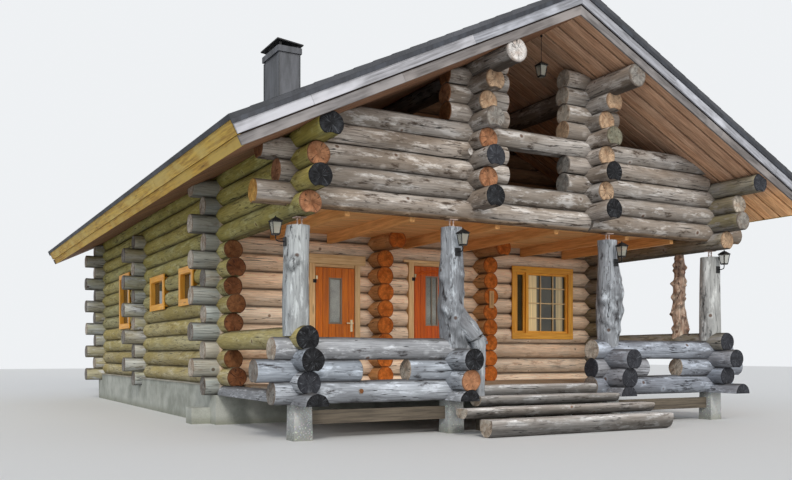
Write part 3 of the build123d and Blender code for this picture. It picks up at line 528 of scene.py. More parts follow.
def solid_boxes(node):
    """Lowest and highest corners of each solid of a CAD node.

    Equal vertices are merged, then each vertex takes the lowest label among its triangles' corners, over
    and over, until nothing changes. What shares a label is one solid.
    """
    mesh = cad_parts[node].data
    points = np.empty(len(mesh.vertices) * 3)
    mesh.vertices.foreach_get("co", points)
    points = points.reshape(-1, 3)
    mesh.calc_loop_triangles()
    corners = np.empty(len(mesh.loop_triangles) * 3, np.int32)
    mesh.loop_triangles.foreach_get("vertices", corners)
    merged, same = np.unique(np.round(points, 4), axis=0, return_inverse=True)
    triangles = same.ravel()[corners].reshape(-1, 3)
    label = np.arange(len(merged))
    while True:
        lowest = label[triangles].min(axis=1)
        new = label.copy()
        for corner in range(3):
            np.minimum.at(new, triangles[:, corner], lowest)
        new = new[new]
        if np.array_equal(new, label):
            break
        label = new
    return [(merged[label == k].min(axis=0), merged[label == k].max(axis=0)) for k in np.unique(label)]


def wave(angle, along, count, amount, turns, bends):
    """Sum of sines over the angle and the length, with random phases: a gentle unevenness."""
    total = np.zeros(np.broadcast(angle, along).shape)
    for _ in range(count):
        total += np.sin(rng.integers(*turns) * angle + rng.uniform(*bends) * along + rng.uniform(0, 2 * pi))
    return amount * total / count


def along_path(piece, path, radii, around=14, ends=(GREY, GREY), slots=(0, 1), rough=0.0):
    """A limb: a circle carried along a path and kept square to it.

    At each point the ring lies in the plane of two directions square to the path, and rough adds a sum
    of sines to its radius, round it and along it.
    """
    path, radii = np.asarray(path, float), np.asarray(radii, float)
    forward = np.gradient(path, axis=0)
    forward /= np.linalg.norm(forward, axis=1, keepdims=True)
    aside = np.cross(forward, np.where(abs(forward[:, 2:]) > 0.9, (0.0, 1.0, 0.0), (0.0, 0.0, 1.0)))
    aside /= np.linalg.norm(aside, axis=1, keepdims=True)
    over = np.cross(aside, forward)
    angle = 2 * pi * np.arange(around) / around
    run = np.concatenate([[0], np.cumsum(np.linalg.norm(np.diff(path, axis=0), axis=1))])
    size = radii[:, None] * (1 + wave(angle[None, :], run[:, None], 4, rough, (1, 5), (5.0, 40.0)))
    x, y = size * np.cos(angle), size * np.sin(angle)
    rings = path[:, None] + x[..., None] * aside[:, None] + y[..., None] * over[:, None]
    grain = np.stack([np.broadcast_to(run[:, None], x.shape) + rng.uniform(0, 60), x, y], axis=-1)
    piece.tube(rings, grain, ends=ends, slots=slots)


def smooth_path(points, number):
    """Points on a line through the given ones, evened twice so that its corners are round."""
    points = np.asarray(points, float)
    share = np.linspace(0, len(points) - 1, number)
    line = np.stack([np.interp(share, np.arange(len(points)), values) for values in points.T], axis=1)
    for _ in range(2):
        line[1:-1] = (line[:-2] + 2 * line[1:-1] + line[2:]) / 4
    return line


def add_log(piece, axis, low, high, across, height, radius, tint, ends, below, floor, knots, hewn_top, outer,
            under):
    """A peeled log with sawn ends, as a radius over the angle round it and the distance along it.

    The radius is the log's own, plus a slow unevenness, draw-knife facets and knots, each a bell curve in
    angle and length. It is scribed to the log whose axis lies below it: no point goes lower than that
    log's round back. No point goes above the roof's underside or a hewn top (start, end, height), and
    none below a hewn floor. Outside a corner (distance from the cabin's middle, factor) the tint turns to
    a weathered one, and under the log (height from its axis, factor) to a fresher one.
    """
    angle = -pi / 2 + 2 * pi * np.arange(around_log) / around_log
    length = high - low
    low += rng.uniform(0, 0.012)
    high -= rng.uniform(0, 0.012)
    inner = np.linspace(low, high, max(int(ceil(length / station_gap)), 3) + 1)[1:-1]
    extra = []
    if hewn_top is not None:
        extra += [hewn_top[0] - 0.003, hewn_top[0], hewn_top[1], hewn_top[1] + 0.003]
    if outer is not None:
        extra += [side * (outer[0] + shift) for side in (-1, 1) for shift in (-0.03, 0.03)]
    inner = np.sort(np.concatenate([inner, [e for e in extra if low + 0.02 < e < high - 0.02]]))
    station = np.concatenate([[low] * 3, [low + end_bevel], inner, [high - end_bevel], [high] * 3])
    share = np.ones(len(station))
    share[:3] = (0.35, 0.72, 0.94)
    share[-3:] = share[2::-1]
    grid_angle, grid_along = angle[None, :], station[:, None]
    taper = 1 + rng.uniform(-0.03, 0.03) * (grid_along - (low + high) / 2) / max(length, 1.0)
    size = radius * taper * rng.uniform(0.985, 1.0)
    size = size + wave(grid_angle, grid_along, 4, 0.007, (1, 4), (0.6, 4.0))
    size = size + wave(grid_angle, grid_along, 3, 0.0026, (6, 11), (2.0, 14.0))
    for _ in range(rng.poisson(knots * length * 0.9)):
        spot, lean = rng.uniform(low, high), rng.uniform(-pi, pi)
        turn = (grid_angle - lean + pi) % (2 * pi) - pi
        away = (turn / 0.3) ** 2 + ((grid_along - spot) / 0.075) ** 2
        size = size + rng.uniform(0.005, 0.014) * np.exp(-away)
    size = size * share[:, None]
    y = size * np.cos(grid_angle)
    z = size * np.sin(grid_angle)
    if below is not None:
        back = -below + np.sqrt(np.maximum(radius ** 2 - y ** 2, 0))
        z = np.maximum(z, back * np.minimum(share[:, None] * 1.02, 1.0))
    sweep_y = 0.006 * np.sin(grid_along * rng.uniform(0.4, 0.9) + rng.uniform(0, 6))
    sweep_z = 0.002 * np.sin(grid_along * rng.uniform(0.4, 0.9) + rng.uniform(0, 6))
    ends_of = (np.arange(len(station)) < 4, np.arange(len(station)) >= len(station) - 4)
    lean = np.zeros_like(y)
    for chosen, sign in zip(ends_of, (1, -1)):
        tilt = rng.uniform(-0.06, 0.06, 2)
        lean[chosen] = sign * (tilt[0] * (y[chosen] + 0.16) + tilt[1] * (z[chosen] + 0.16)) * 0.5
        lean[chosen] = sign * np.maximum(sign * lean[chosen], 0)
    along = grid_along + lean
    rings = np.empty((*y.shape, 3))
    rings[..., axis] = along
    rings[..., 1 - axis] = across + y + sweep_y
    rings[..., 2] = height + z + sweep_z
    if floor is not None:
        rings[..., 2] = np.maximum(rings[..., 2], floor)
    rings[..., 2] = np.minimum(rings[..., 2], ridge_under - seat - abs(rings[..., 0]) * pitch_rise)
    if hewn_top is not None:
        lowered = (along >= hewn_top[0]) & (along <= hewn_top[1])
        rings[..., 2] = np.where(lowered, np.minimum(rings[..., 2], hewn_top[2]), rings[..., 2])
    shade = np.broadcast_to(tint, (*y.shape, 3))
    if outer is not None:
        past = np.clip((abs(along) - outer[0]) / 0.06 + 0.5, 0, 1)[..., None]
        shade = shade * (1 - past + past * outer[1])
    if under is not None:
        fresh = np.clip((under[0] - z) / 0.03, 0, 1)[..., None]
        shade = shade * (1 - fresh + fresh * under[1])
    grain = np.stack([along + rng.uniform(0, 60), y, z], axis=-1)
    piece.tube(rings, grain, shade, ends, cut=3)


def row_of(low, high, half):
    """Row of a log from its solid's seams: its top one, or its lower one where the roof cuts the top."""
    rows = np.arange(-0.5 if half else 0.0, 20.0)
    tops = np.array([seam(r + 0.5) for r in rows])
    bottoms = np.array([seam(r - 0.5) for r in rows])
    by_top = np.argmin(abs(tops - high))
    if abs(tops[by_top] - high) < 0.004:
        return rows[by_top]
    return rows[np.argmin(abs(bottoms - low))]


# Colours of sawn ends that face the front, by the log's node, its place across and its row
front_ends = {
    ("left_wall", -half_width): {0.5: RED_BROWN, 1.5: BROWN, 2.5: BLACK, 3.5: RED_BROWN, 4.5: BROWN,
                                 5.5: RED_BROWN, 6.5: RED_BROWN, 7.5: BROWN, 8.5: ORANGE, 9.5: BLACK,
                                 10.5: ORANGE, 11.5: BLACK},
    ("right_wall", half_width): {2.5: CHARCOAL, 8.5: PALE_ORANGE, 9.5: GREY, 10.5: PALE, 11.5: CHARCOAL},
    ("left_pier", -pier_line): {9.5: BLACK, 10.5: ORANGE, 11.5: CHARCOAL, 12.5: ORANGE, 13.5: GREY,
                                14.5: PALE_ORANGE, 15.5: PALE_ORANGE},
    ("right_pier", pier_line): {9.5: BLACK, 10.5: PALE_ORANGE, 11.5: BLACK, 12.5: PALE_ORANGE,
                                13.5: GREEN_GREY, 14.5: PALE_ORANGE, 15.5: PALE_ORANGE},
    ("left_porch_rail", -half_width): {-0.5: BLACK, 0.5: CHARCOAL, 1.5: BLACK},
    ("left_porch_rail", -inner_post): {-0.5: BLACK, 0.5: ORANGE, 1.5: BLACK},
    ("right_porch_rail", inner_post): {-0.5: CHARCOAL, 0.5: CHARCOAL, 1.5: CHARCOAL},
    ("right_porch_rail", half_width): {-0.5: CHARCOAL, 0.5: CHARCOAL, 1.5: CHARCOAL},
    ("purlins", -pier_line): {purlin_row: WHITE},
    ("purlins", pier_line): {purlin_row: GREY},
}
# Colours of the left ends of logs along X, by node and row
left_ends = {("balcony_beam", 9): GOLDEN, ("balcony_front_logs", 10): ORANGE,
             ("balcony_front_logs", 11): BROWN}
# Colours that the other ends take by chance, by node
end_choice = {
    "cross_wall_stubs": (STUB_ORANGE,),
    "front_wall": (PALE, GREY, PALE),
    "rear_wall": (PALE, GREY, GREY),
    "tie_logs": (PALE, GREY, GREY),
    "balcony_front_logs": (PALE, GREY),
    "balcony_beam": (GREY, GREY),
    "left_porch_rail": (PALE, PALE, GREY),
    "right_porch_rail": (GREY, PALE, CHARCOAL),
    "left_pier": (ORANGE, PALE_ORANGE, BROWN),
    "right_pier": (PALE_ORANGE, PALE, PALE),
}
any_end = (GREY, GREY, BROWN, PALE)


def ratio(first, second):
    """What a tint multiplies the second colour by to give the first."""
    return np.array(first) / np.array(second)


porch_tone = colour(246, 216, 186)
wall_tone = colour(158, 145, 84)
porch_stub = ratio(colour(162, 160, 150), porch_tone)
side_stub = ratio(colour(164, 160, 132), wall_tone)
# Outside the corners, at this distance from the cabin's middle, the logs along X turn grey
corner_face = half_width + 0.110
outer_tints = {"front_wall": (corner_face, porch_stub), "rear_wall": (corner_face, side_stub),
               "tie_logs": (corner_face, side_stub)}
side_tints = {"right_wall": ratio(colour(134, 124, 96), wall_tone), "cross_wall_stubs": (0.98, 0.90, 0.78)}
beam_underside = (-0.10, np.array((1.5, 1.15, 0.8)))
# The log under the front window: where its top is hewn (start, end, height) and between which heights it lies
window_cut = (1.800, 3.184, seam(3))
window_log_foot, window_log_head = 1.25, 1.60
top_stub_row, top_stub_size = 8.5, 1.04


def dress_logs(node, sides, record_slot, knots):
    """One piece of round logs in place of a node's solids, each log where its solid lies."""
    piece = Piece()
    purlin = node == "purlins"
    choice = end_choice.get(node, any_end)
    for low, high in solid_boxes(node):
        axis = int(np.argmax((high - low)[:2]))
        across = (low[1 - axis] + high[1 - axis]) / 2
        row = purlin_row if purlin else row_of(low[2], high[2], half=axis == 1)
        if node == "front_wall" and low[2] > window_log_foot and high[2] < window_log_head:
            row = 3.0
        bottom, top = seam(row - 0.5), seam(row + 0.5)
        floor = low[2] if low[2] > bottom + 0.003 or row == 0 else None
        below = top - bottom if floor is None and not purlin else None
        ends = [choice[rng.integers(len(choice))] for _ in range(2)]
        if axis == 1:
            ends[0] = front_ends.get((node, round(across, 2)), {}).get(row, ends[0])
        elif low[0] < -3:
            ends[0] = left_ends.get((node, row), ends[0])
        radius = purlin_radius if purlin else log_radius
        if node == "cross_wall_stubs" and row == top_stub_row:
            radius *= top_stub_size
        tint = some_tint(0.12, 0.04) * side_tints.get(node, 1)
        if node == "left_wall":
            # Yellower towards the eaves, bluer near the foot
            tint = tint * np.array((1.0, 1.0, 1.4 - 0.06 * row))
        hewn_top = window_cut if node == "front_wall" and row == 3 and high[0] > 1.9 else None
        under = beam_underside if node == "balcony_beam" else None
        add_log(piece, axis, low[axis], high[axis], across, middle(row), radius, tint, ends, below, floor,
                knots, hewn_top, outer_tints.get(node), under)
    piece.make(f"{node}_round", (sides, sawn), record_slot, "cabin", (node,))


sawn = log_ends("sawn_log_ends")
wall_sides = log_sides("side_wall_logs", wall_tone, colour(190, 184, 138), colour(104, 90, 50))
porch_sides = log_sides("porch_wall_logs", porch_tone, colour(248, 230, 208), colour(192, 148, 112),
                        mottle=0.6, lying_log_shade=0.85, cracks=0.7)
stub_sides = log_sides("cross_wall_log_sides", colour(196, 150, 104), colour(214, 178, 136),
                       colour(140, 92, 56), mottle=0.6, lying_log_shade=0.85)
# The front gable's logs under the roof are painted dark brown: painted shade
gable_sides = log_sides("gable_logs_painted_shade", colour(118, 86, 62), colour(138, 106, 80), colour(72, 50, 36),
                        mottle=0.6)
balcony_sides = log_sides("balcony_logs", colour(134, 123, 112), colour(198, 193, 188), colour(72, 59, 49),
                          mottle=0.95)
rail_sides = log_sides("porch_rail_logs", colour(128, 132, 138), colour(194, 201, 210), colour(64, 62, 64),
                       mottle=0.95)
dark_rail_sides = log_sides("right_rail_logs", colour(118, 120, 126), colour(180, 186, 196),
                            colour(58, 57, 61), mottle=0.95)

# Each node of logs with how knotty its logs are
for sides, slot, nodes in (
        (wall_sides, "wall_logs", {"left_wall": 1.0, "right_wall": 1.0, "rear_wall": 1.0, "tie_logs": 1.0,
                                   "rear_gable": 1.0}),
        (porch_sides, "front_logs", {"front_wall": 1.0}),
        (stub_sides, "front_logs", {"cross_wall_stubs": 1.0}),
        (gable_sides, "gable_logs", {"front_gable": 0.8}),
        (balcony_sides, "balcony_logs", {"balcony_beam": 1.2, "balcony_front_logs": 1.8, "left_pier": 0.8,
                                         "right_pier": 0.8, "purlins": 1.0}),
        (rail_sides, "rail_logs", {"left_porch_rail": 1.6}),
        (dark_rail_sides, "rail_logs", {"right_porch_rail": 1.6})):
    for node, knots in nodes.items():
        dress_logs(node, sides, slot, knots)

# Sawn-off branches on the balcony's front and on the porch's edge log
balcony_branch = ((-1.34, -0.10, 3.925), (-1.30, -0.19, 3.92), (-1.285, -0.235, 3.92))
deck_branch = ((-2.95, -0.10, 0.61), (-2.95, -0.155, 0.615), (-2.95, -0.175, 0.617))
branches = Piece()
along_path(branches, smooth_path(balcony_branch, 8), np.linspace(0.055, 0.048, 8), 16, ends=(GREY, WHITE),
           rough=0.05)
along_path(branches, smooth_path(deck_branch, 6), np.linspace(0.05, 0.03, 6), 14, ends=(GREY, BROWN),
           rough=0.08)
branches.make("branch_stubs", (balcony_sides, sawn), "balcony_logs")

# Posts

corner_head = 2.738
inner_head = 2.878
trunk_head = 2.848
trunk_line = 0.660
saddle_depth = 0.115
# Root of the left inner post: (height, radius, x and y from the post's middle), and the twig on it
root_bands = ((0.5159, 0.068, 0.318, -0.240), (0.72, 0.060, 0.330, -0.236), (0.94, 0.068, 0.334, -0.236),
              (1.16, 0.088, 0.318, -0.238), (1.30, 0.108, 0.276, -0.242), (1.42, 0.126, 0.210, -0.190),
              (1.54, 0.134, 0.130, -0.120), (1.70, 0.110, 0.060, -0.050))
root_twig = ((-1.13, -0.25, 1.34), (-1.07, -0.275, 1.30), (-1.055, -0.28, 1.24))


def side_root(piece):
    """Root of the left inner post: out over the rail, then straight down to the first step."""
    line = smooth_path(np.array(root_bands)[:, [2, 3, 0, 1]], 34)
    line[:, 0] -= inner_post
    along_path(piece, line[:, :3], line[:, 3], 18, ends=(PALE, GREY), rough=0.10)
    twig = smooth_path(root_twig, 8)
    along_path(piece, twig, np.linspace(0.05, 0.025, 8), 12, ends=(PALE, GREY), rough=0.1)


def post(node, x, y, below, head, bands, burls, finish, flutes, record_slot="post_wood", around=44,
         extra=None):
    """A gnarled standing log on a lying one.

    Its radius and its middle run through the bands (share of the height, radius, x, y), evened out. To
    the radius it adds a fluting that turns slowly up the post, and burls (share of the height, degrees
    round the post, width, swell), each a bell curve in angle and height. The tint is darker round the foot
    of each bell, more so below it, as painted shade, and pale on its crown. The log below (the axis it
    lies along, its row) carries the post, and the post's foot hangs down beside that log's round back.
    """
    axis, row = below
    foot = seam(row + 0.5) + seat
    tall = head - foot
    table = np.array(bands, float)
    share = np.linspace(0, 1, 72)
    radius, middle_x, middle_y = (np.interp(share, table[:, 0], table[:, k]) for k in (1, 2, 3))
    kernel = np.array([1, 2, 3, 3, 2, 1]) / 12
    radius, middle_x, middle_y = (np.convolve(np.pad(v, (2, 3), mode="edge"), kernel, "valid")
                                  for v in (radius, middle_x, middle_y))
    grid_angle, grid_share = 2 * pi * np.arange(around)[None, :] / around, share[:, None]
    size = radius[:, None] + flutes * np.sin(5 * grid_angle + 4 * grid_share * tall)
    size = size + wave(grid_angle, grid_share * tall, 4, flutes, (2, 7), (1.0, 9.0))
    size = size + wave(grid_angle, grid_share * tall, 4, flutes * 0.5, (7, 12), (5.0, 25.0))
    crease_shade = np.zeros_like(size)
    crown = np.zeros_like(size)
    for at, lean, wide, swell in burls:
        turn = (grid_angle - radians(lean) + pi) % (2 * pi) - pi
        away = (turn * radius[:, None] / wide) ** 2 + ((grid_share - at) * tall / wide) ** 2
        bell = swell * np.exp(-away)
        size = size + bell
        # Painted shade round the foot of each burl, heavier below it
        crease_shade += swell * away * np.exp(1 - away) * np.where(grid_share < at, 1.3, 0.7)
        crown += bell
    local_x = middle_x[:, None] + size * np.cos(grid_angle)
    local_y = middle_y[:, None] + size * np.sin(grid_angle)
    beside = (local_y, local_x)[axis][0]
    back = middle(row) + np.sqrt(np.maximum(log_radius ** 2 - beside ** 2, 0))
    lowest = np.clip(back, foot - saddle_depth, foot)
    rings = np.stack([x + local_x, y + local_y, lowest + grid_share * (head - lowest)], axis=-1)
    caps = 0.35 * rings[[0, -1]] + 0.65 * rings[[0, -1]].mean(axis=1, keepdims=True)
    rings = np.concatenate([caps[:1], rings, caps[1:]])
    local = np.stack([rings[..., 2], rings[..., 0] - x, rings[..., 1] - y], axis=-1)
    local[..., 0] += rng.uniform(0, 60)
    shade = 1 - np.clip(crease_shade * 11, 0, 0.6) + np.clip(crown * 9, 0, 0.35)
    shade = np.concatenate([shade[:1], shade, shade[-1:]])[..., None] * some_tint(0.04, 0.02)
    piece = Piece()
    piece.tube(rings, local, shade, (PALE, PALE), cut=1)
    if extra is not None:
        extra(piece)
    piece.make(f"{node}_gnarled", (finish, sawn), record_slot, "cabin", (node,))


post_sides = log_sides("grey_posts", colour(136, 138, 138), colour(198, 202, 202), colour(70, 70, 72),
                       mottle=0.95, lying_log_shade=0.0)
burl_sides = log_sides("burl_posts", colour(118, 120, 124), colour(184, 190, 196), colour(56, 54, 56),
                       mottle=1.0, lying_log_shade=0.0)
trunk_sides = log_sides("twisted_trunk_wood", colour(176, 140, 120), colour(228, 212, 192),
                        colour(112, 66, 52), mottle=1.0, lying_log_shade=0.0)
left_corner_bands = ((0, 0.170, -0.045, 0), (0.5, 0.167, -0.055, 0), (0.85, 0.162, -0.045, 0),
                     (1, 0.146, -0.015, 0))
right_corner_bands = ((0, 0.177, 0, 0), (0.5, 0.170, 0, 0), (1, 0.160, 0, 0))
left_inner_bands = ((0, 0.190, 0.025, -0.010), (0.12, 0.173, 0.005, 0), (0.3, 0.187, -0.015, -0.005),
                    (0.45, 0.167, 0.005, 0.005), (0.62, 0.180, -0.008, 0), (0.8, 0.153, 0.004, 0),
                    (1, 0.143, 0, 0))
right_inner_bands = ((0, 0.156, 0.005, 0), (0.15, 0.173, 0.012, 0), (0.35, 0.204, 0.030, -0.010),
                     (0.55, 0.197, 0.034, -0.008), (0.72, 0.170, 0.020, 0), (0.85, 0.143, -0.006, 0),
                     (1, 0.153, -0.008, 0))
trunk_bands = ((0, 0.140, -0.010, 0), (0.12, 0.115, 0.015, -0.020), (0.3, 0.118, -0.030, 0.020),
               (0.45, 0.090, 0.015, 0.035), (0.6, 0.100, -0.025, -0.010), (0.75, 0.080, 0.015, 0.025),
               (0.9, 0.088, -0.010, 0.005), (1, 0.060, 0, 0))
left_corner_burls = ((0.64, 236, 0.062, 0.055),)
right_corner_burls = ((0.5, 200, 0.05, 0.01),)
left_inner_burls = ((0.06, -20, 0.10, 0.05), (0.28, 215, 0.07, 0.035), (0.33, -70, 0.06, 0.03),
                    (0.18, 250, 0.06, 0.03), (0.55, 190, 0.07, 0.03), (0.6, -60, 0.06, 0.035),
                    (0.42, -30, 0.05, 0.02), (0.72, 250, 0.05, 0.02), (0.12, -75, 0.08, 0.045),
                    (0.22, -35, 0.06, 0.03))
right_inner_burls = ((0.3, -30, 0.09, 0.045), (0.42, 200, 0.08, 0.035), (0.5, -60, 0.10, 0.040),
                     (0.62, -10, 0.07, 0.03), (0.2, 240, 0.06, 0.03), (0.75, -80, 0.05, 0.02),
                     (0.36, 250, 0.06, 0.03), (0.55, 235, 0.05, 0.025), (0.28, -85, 0.05, 0.03),
                     (0.46, -100, 0.04, 0.025), (0.14, -60, 0.06, 0.03))
# The trunk's knobs climb round it in a spiral
trunk_burls = tuple((at, (at * 2300 + k * 137) % 360, 0.030 + 0.010 * (k % 3), 0.036 + 0.008 * (k % 4))
                    for k, at in enumerate(np.linspace(0.03, 0.97, 30)))
# Each post stands on the top log of a rail, along X under the inner posts and along Y at the corners
front_rail, side_rail = (0, 2), (1, 2.5)
post("left_corner_post", -half_width, 0, side_rail, corner_head, left_corner_bands, left_corner_burls,
     post_sides, 0.003)
post("left_inner_post", -inner_post, 0, front_rail, inner_head, left_inner_bands, left_inner_burls,
     burl_sides, 0.006, extra=side_root)
post("right_inner_post", inner_post, 0, front_rail, inner_head, right_inner_bands, right_inner_burls,
     burl_sides, 0.006)
post("right_corner_post", half_width, 0, side_rail, corner_head, right_corner_bands, right_corner_burls,
     post_sides, 0.003)
post("twisted_trunk", half_width, trunk_line, side_rail, trunk_head, trunk_bands, trunk_burls, trunk_sides,
     0.009, "trunk_wood", around=40)

# Roof

verge_board = 0.028
eave_board = 0.025
front_face = front_verge + 2 * (verge_board + seat)
rear_face = rear_verge - 2 * (verge_board + seat)
eave_stop = eave_run - 2 * (eave_board + seat)
soffit_board = 0.158
soffit_top, sheathing_foot = 0.034, 0.0342
# Half the gap beside a soffit board: they lie in pairs, close within a pair and wide between two
close_gap, wide_gap = 0.003, 0.020
# The soffit under the left eave is painted darker: painted shade
left_soffit_painted_shade = np.array((0.42, 0.35, 0.30))
sunlit_eave = (4.45, (1.75, 1.6, 1.2))
course_gap = 0.285
tab_width = 0.33
roofing_overhang = 0.018
sheet_drop = 0.008
# A lower board stands back behind an upper one at each verge and eave: rises of its foot and its top
verge_lower, verge_upper = (0.0, 0.114), (0.130, slab_depth)
eave_lower, eave_upper = (0.0, 0.124), (0.128, slab_depth)
eave_boards_along = 4


def slope_plank(piece, side, y_low, y_high, rise_low, rise_high, run_low, run_high, chamfer=0.003,
                tint=(1, 1, 1), slots=(0, 0), sunlit=None):
    """A board down a roof slope; without an upper run it is cut upright at the ridge.

    A sunlit tint (run, factor) takes over from its run down to the eave.
    """
    profile = chamfered(y_high - y_low, rise_high - rise_low, chamfer)
    y = (y_low + y_high) / 2 + profile[:, 0]
    rise = (rise_low + rise_high) / 2 + profile[:, 1]
    start = seat - rise * tan(pitch) if run_low is None else np.full(len(rise), run_low)
    runs = [start, np.full(len(rise), run_high)]
    factors = [np.ones(3), np.ones(3)]
    if sunlit is not None:
        runs[1:1] = [np.full(len(rise), sunlit[0]), np.full(len(rise), sunlit[0] + 0.35)]
        factors[1:] = [np.ones(3), np.array(sunlit[1]), np.array(sunlit[1])]
    places = [slope(run, rise, side) for run in runs]
    rings = np.stack([np.stack([x, y, z], axis=-1) for x, z in places])
    grain = np.stack([np.stack([run, y, rise], axis=-1) for run in runs]) + rng.uniform(0, 30, 3)
    shade = np.array(factors)[:, None] * np.broadcast_to(tint, (len(runs), len(rise), 3))
    piece.tube(rings, grain, shade, (GREY, GREY), 0, slots)


def level_rings(side, section, y_low, y_high):
    """Both ends of a board that lies level along a slope, from its section in (run, rise)."""
    corners = [slope(run, rise, side) for run, rise in section]
    return np.array([[(x, y, z) for x, z in corners] for y in (y_low, y_high)])


def roof_courses(name, tone, dull, gap, tab):
    """Roofing in overlapping courses: speckled, each tab a little lighter or darker than the next."""
    f = Finish(name, roughness=0.85)
    place = f.attribute("grain")
    tabs = f.cells(f.stretched(place, (1 / gap, 1 / tab, 0.0), (0.5, 0, 0)), 1.0, 1)
    speck = f.noise(place, 160.0, 2.0)
    streak = f.noise(f.stretched(place, (0.5, 3.0, 1.0)), 1.0, 4.0)
    shade = f.mix(streak.step(0.35, 0.65), dull, tone)
    shade = f.shaded(shade, f.split(tabs, 0) * 0.35 + 0.8)
    shade = f.shaded(shade, speck.step(0.3, 0.7) * 0.5 + 0.75)
    return f.wear(shade, 0.85, speck, 0.003, 0.5)


soffit = board("soffit_boards", colour(214, 176, 146), colour(164, 124, 98))
# The boarding seen in the gaps between soffit boards is painted near black: painted shade in the grooves
sheathing = board("roof_sheathing_painted_shade", colour(66, 46, 34), colour(44, 32, 26))
slabs = Piece()
boards = int((rear_face - front_face) / soffit_board)
spacing = (rear_face - front_face) / boards
for side in (-1, 1):
    for k in range(boards):
        y = front_face + k * spacing
        before, after = (wide_gap, close_gap) if k % 2 else (close_gap, wide_gap)
        shade = some_tint(0.14, 0.05) * (left_soffit_painted_shade if side < 0 else 1)
        slope_plank(slabs, side, y + before, y + spacing - after, 0.0, soffit_top, None, eave_stop, 0.004,
                    shade, sunlit=sunlit_eave if side > 0 else None)
    slope_plank(slabs, side, front_face, rear_face, sheathing_foot, slab_depth, None, eave_stop, 0.002,
                slots=(1, 1))
slabs.make("roof_boarding", (soffit, sheathing), "soffit_boards", stands_for=("roof_slabs",))

sheeting = Piece()
roofing_front, roofing_rear = front_verge - roofing_overhang, rear_verge + roofing_overhang
roofing_run = eave_run + roofing_overhang
for side in (-1, 1):
    slope_plank(sheeting, side, roofing_front, roofing_rear, slab_depth + seat, roof_depth - sheet_drop, None,
                roofing_run, 0.002)
    for run_high in np.arange(roofing_run, 0.05, -course_gap):
        run_low = max(run_high - course_gap, 0.02)
        section = ((run_low, roof_depth - 0.0085), (run_high, roof_depth - 0.0085), (run_high, roof_depth),
                   (run_low, roof_depth - 0.0065))
        rings = level_rings(side, section, roofing_front, roofing_rear)
        grain = np.array([[(run, y, 0) for run, rise in section] for y in (front_verge, rear_verge)])
        sheeting.tube(rings, grain + np.array([rng.uniform(0, 30), 0, 0]), some_tint(0.05, 0.01))
dark_roofing = roof_courses("dark_roofing", colour(78, 80, 86), colour(58, 60, 64), course_gap, tab_width)
sheeting.make("roofing_courses", (dark_roofing,), "roofing_metal", stands_for=("roofing",))

verge_grey = board("verge_boards", colour(178, 180, 188), colour(128, 128, 132), grey=colour(204, 206, 214))
eave_gold = board("eave_boards", colour(214, 178, 84), colour(158, 120, 52), grey=colour(196, 172, 100))
trims = Piece()
for verge, inward in ((front_verge, 1), (rear_verge, -1)):
    for side in (-1, 1):
        for depth, (low_rise, high_rise), joints, shade in (
                (verge_board + seat, verge_lower, (3.1,), (0.46, 0.42, 0.38)),
                (0.0, verge_upper, (1.9, 4.4), (0.9, 0.9, 0.9))):
            y_low, y_high = sorted((verge + inward * depth, verge + inward * (depth + verge_board)))
            cuts = (None, *joints, eave_run)
            for start, end in zip(cuts, cuts[1:]):
                foot = end if end == eave_run else end - 0.003
                slope_plank(trims, side, y_low, y_high, low_rise, high_rise, start, foot, 0.003,
                            some_tint(0.05, 0.02) * shade)
cuts = np.linspace(front_face, rear_face, eave_boards_along + 1)
for side in (-1, 1):
    for depth, (low_rise, high_rise), shade in ((eave_board + seat, eave_lower, (0.94, 0.88, 0.74)),
                                                (0.0, eave_upper, (1, 1, 1))):
        run_low, run_high = eave_run - depth - eave_board, eave_run - depth
        section = ((run_low, low_rise), (run_high, low_rise), (run_high, high_rise), (run_low, high_rise))
        for start, end in zip(cuts, cuts[1:]):
            rings = level_rings(side, section, start + 0.001, end - 0.001)
            grain = rings[:, :, [1, 0, 2]] + rng.uniform(0, 30, 3)
            trims.tube(rings, grain, some_tint(0.06, 0.02) * shade, slots=(1, 1))
trims.make("verge_and_eave_boards", (verge_grey, eave_gold), "grey_boards", stands_for=("roof_trim_boards",))

# Floors, steps, skirts and sills

floor_board = 0.118
# A sill lies on each long foundation strip, in boards from one place along Y to the next
sill_inner, sill_outer = 3.868, 3.975
sill_foot, sill_top = 0.6003, 0.622
sill_boards = ((3.33, 5.6), (5.603, 7.875), (8.205, 10.2), (10.203, 12.19))

deck_wood = board("deck_boards", colour(168, 140, 108), colour(124, 100, 76), grey=colour(158, 148, 134))
joist_wood = board("porch_joists", colour(246, 198, 138), colour(216, 160, 102))
# The skirts are painted darker than their wood: painted shade under the porch
skirt_wood = board("grey_skirts_painted_shade", colour(106, 98, 86), colour(72, 66, 58))
sill_wood = board("weathered_sill", colour(176, 172, 160), colour(128, 122, 108))
step_sides = log_sides("worn_step_logs_painted_top_light", colour(98, 94, 90), colour(140, 140, 140), colour(58, 52, 48),
                       mottle=0.9, lying_log_shade=0.0)


def lay_boards(node, width, gap, finish, record_slot):
    """Boards along X, side by side in the space of a node's solids."""
    piece = Piece()
    for low, high in solid_boxes(node):
        count = max(int(round((high[1] - low[1]) / width)), 1)
        edges = np.linspace(low[1], high[1], count + 1)
        for start, end in zip(edges, edges[1:]):
            piece.plank((low[0], start + gap / 2, low[2]), (high[0], end - gap / 2, high[2]), 0, 0.003,
                        some_tint(0.1, 0.04))
    piece.make(f"{node}_boards", (finish,), record_slot, stands_for=(node,))


lay_boards("porch_deck", floor_board, 0.005, deck_wood, "deck_boards")
lay_boards("balcony_floor", floor_board, 0.002, joist_wood, "floor_boards")
lay_boards("skirt_boards", 1.0, 0.0, skirt_wood, "grey_boards")


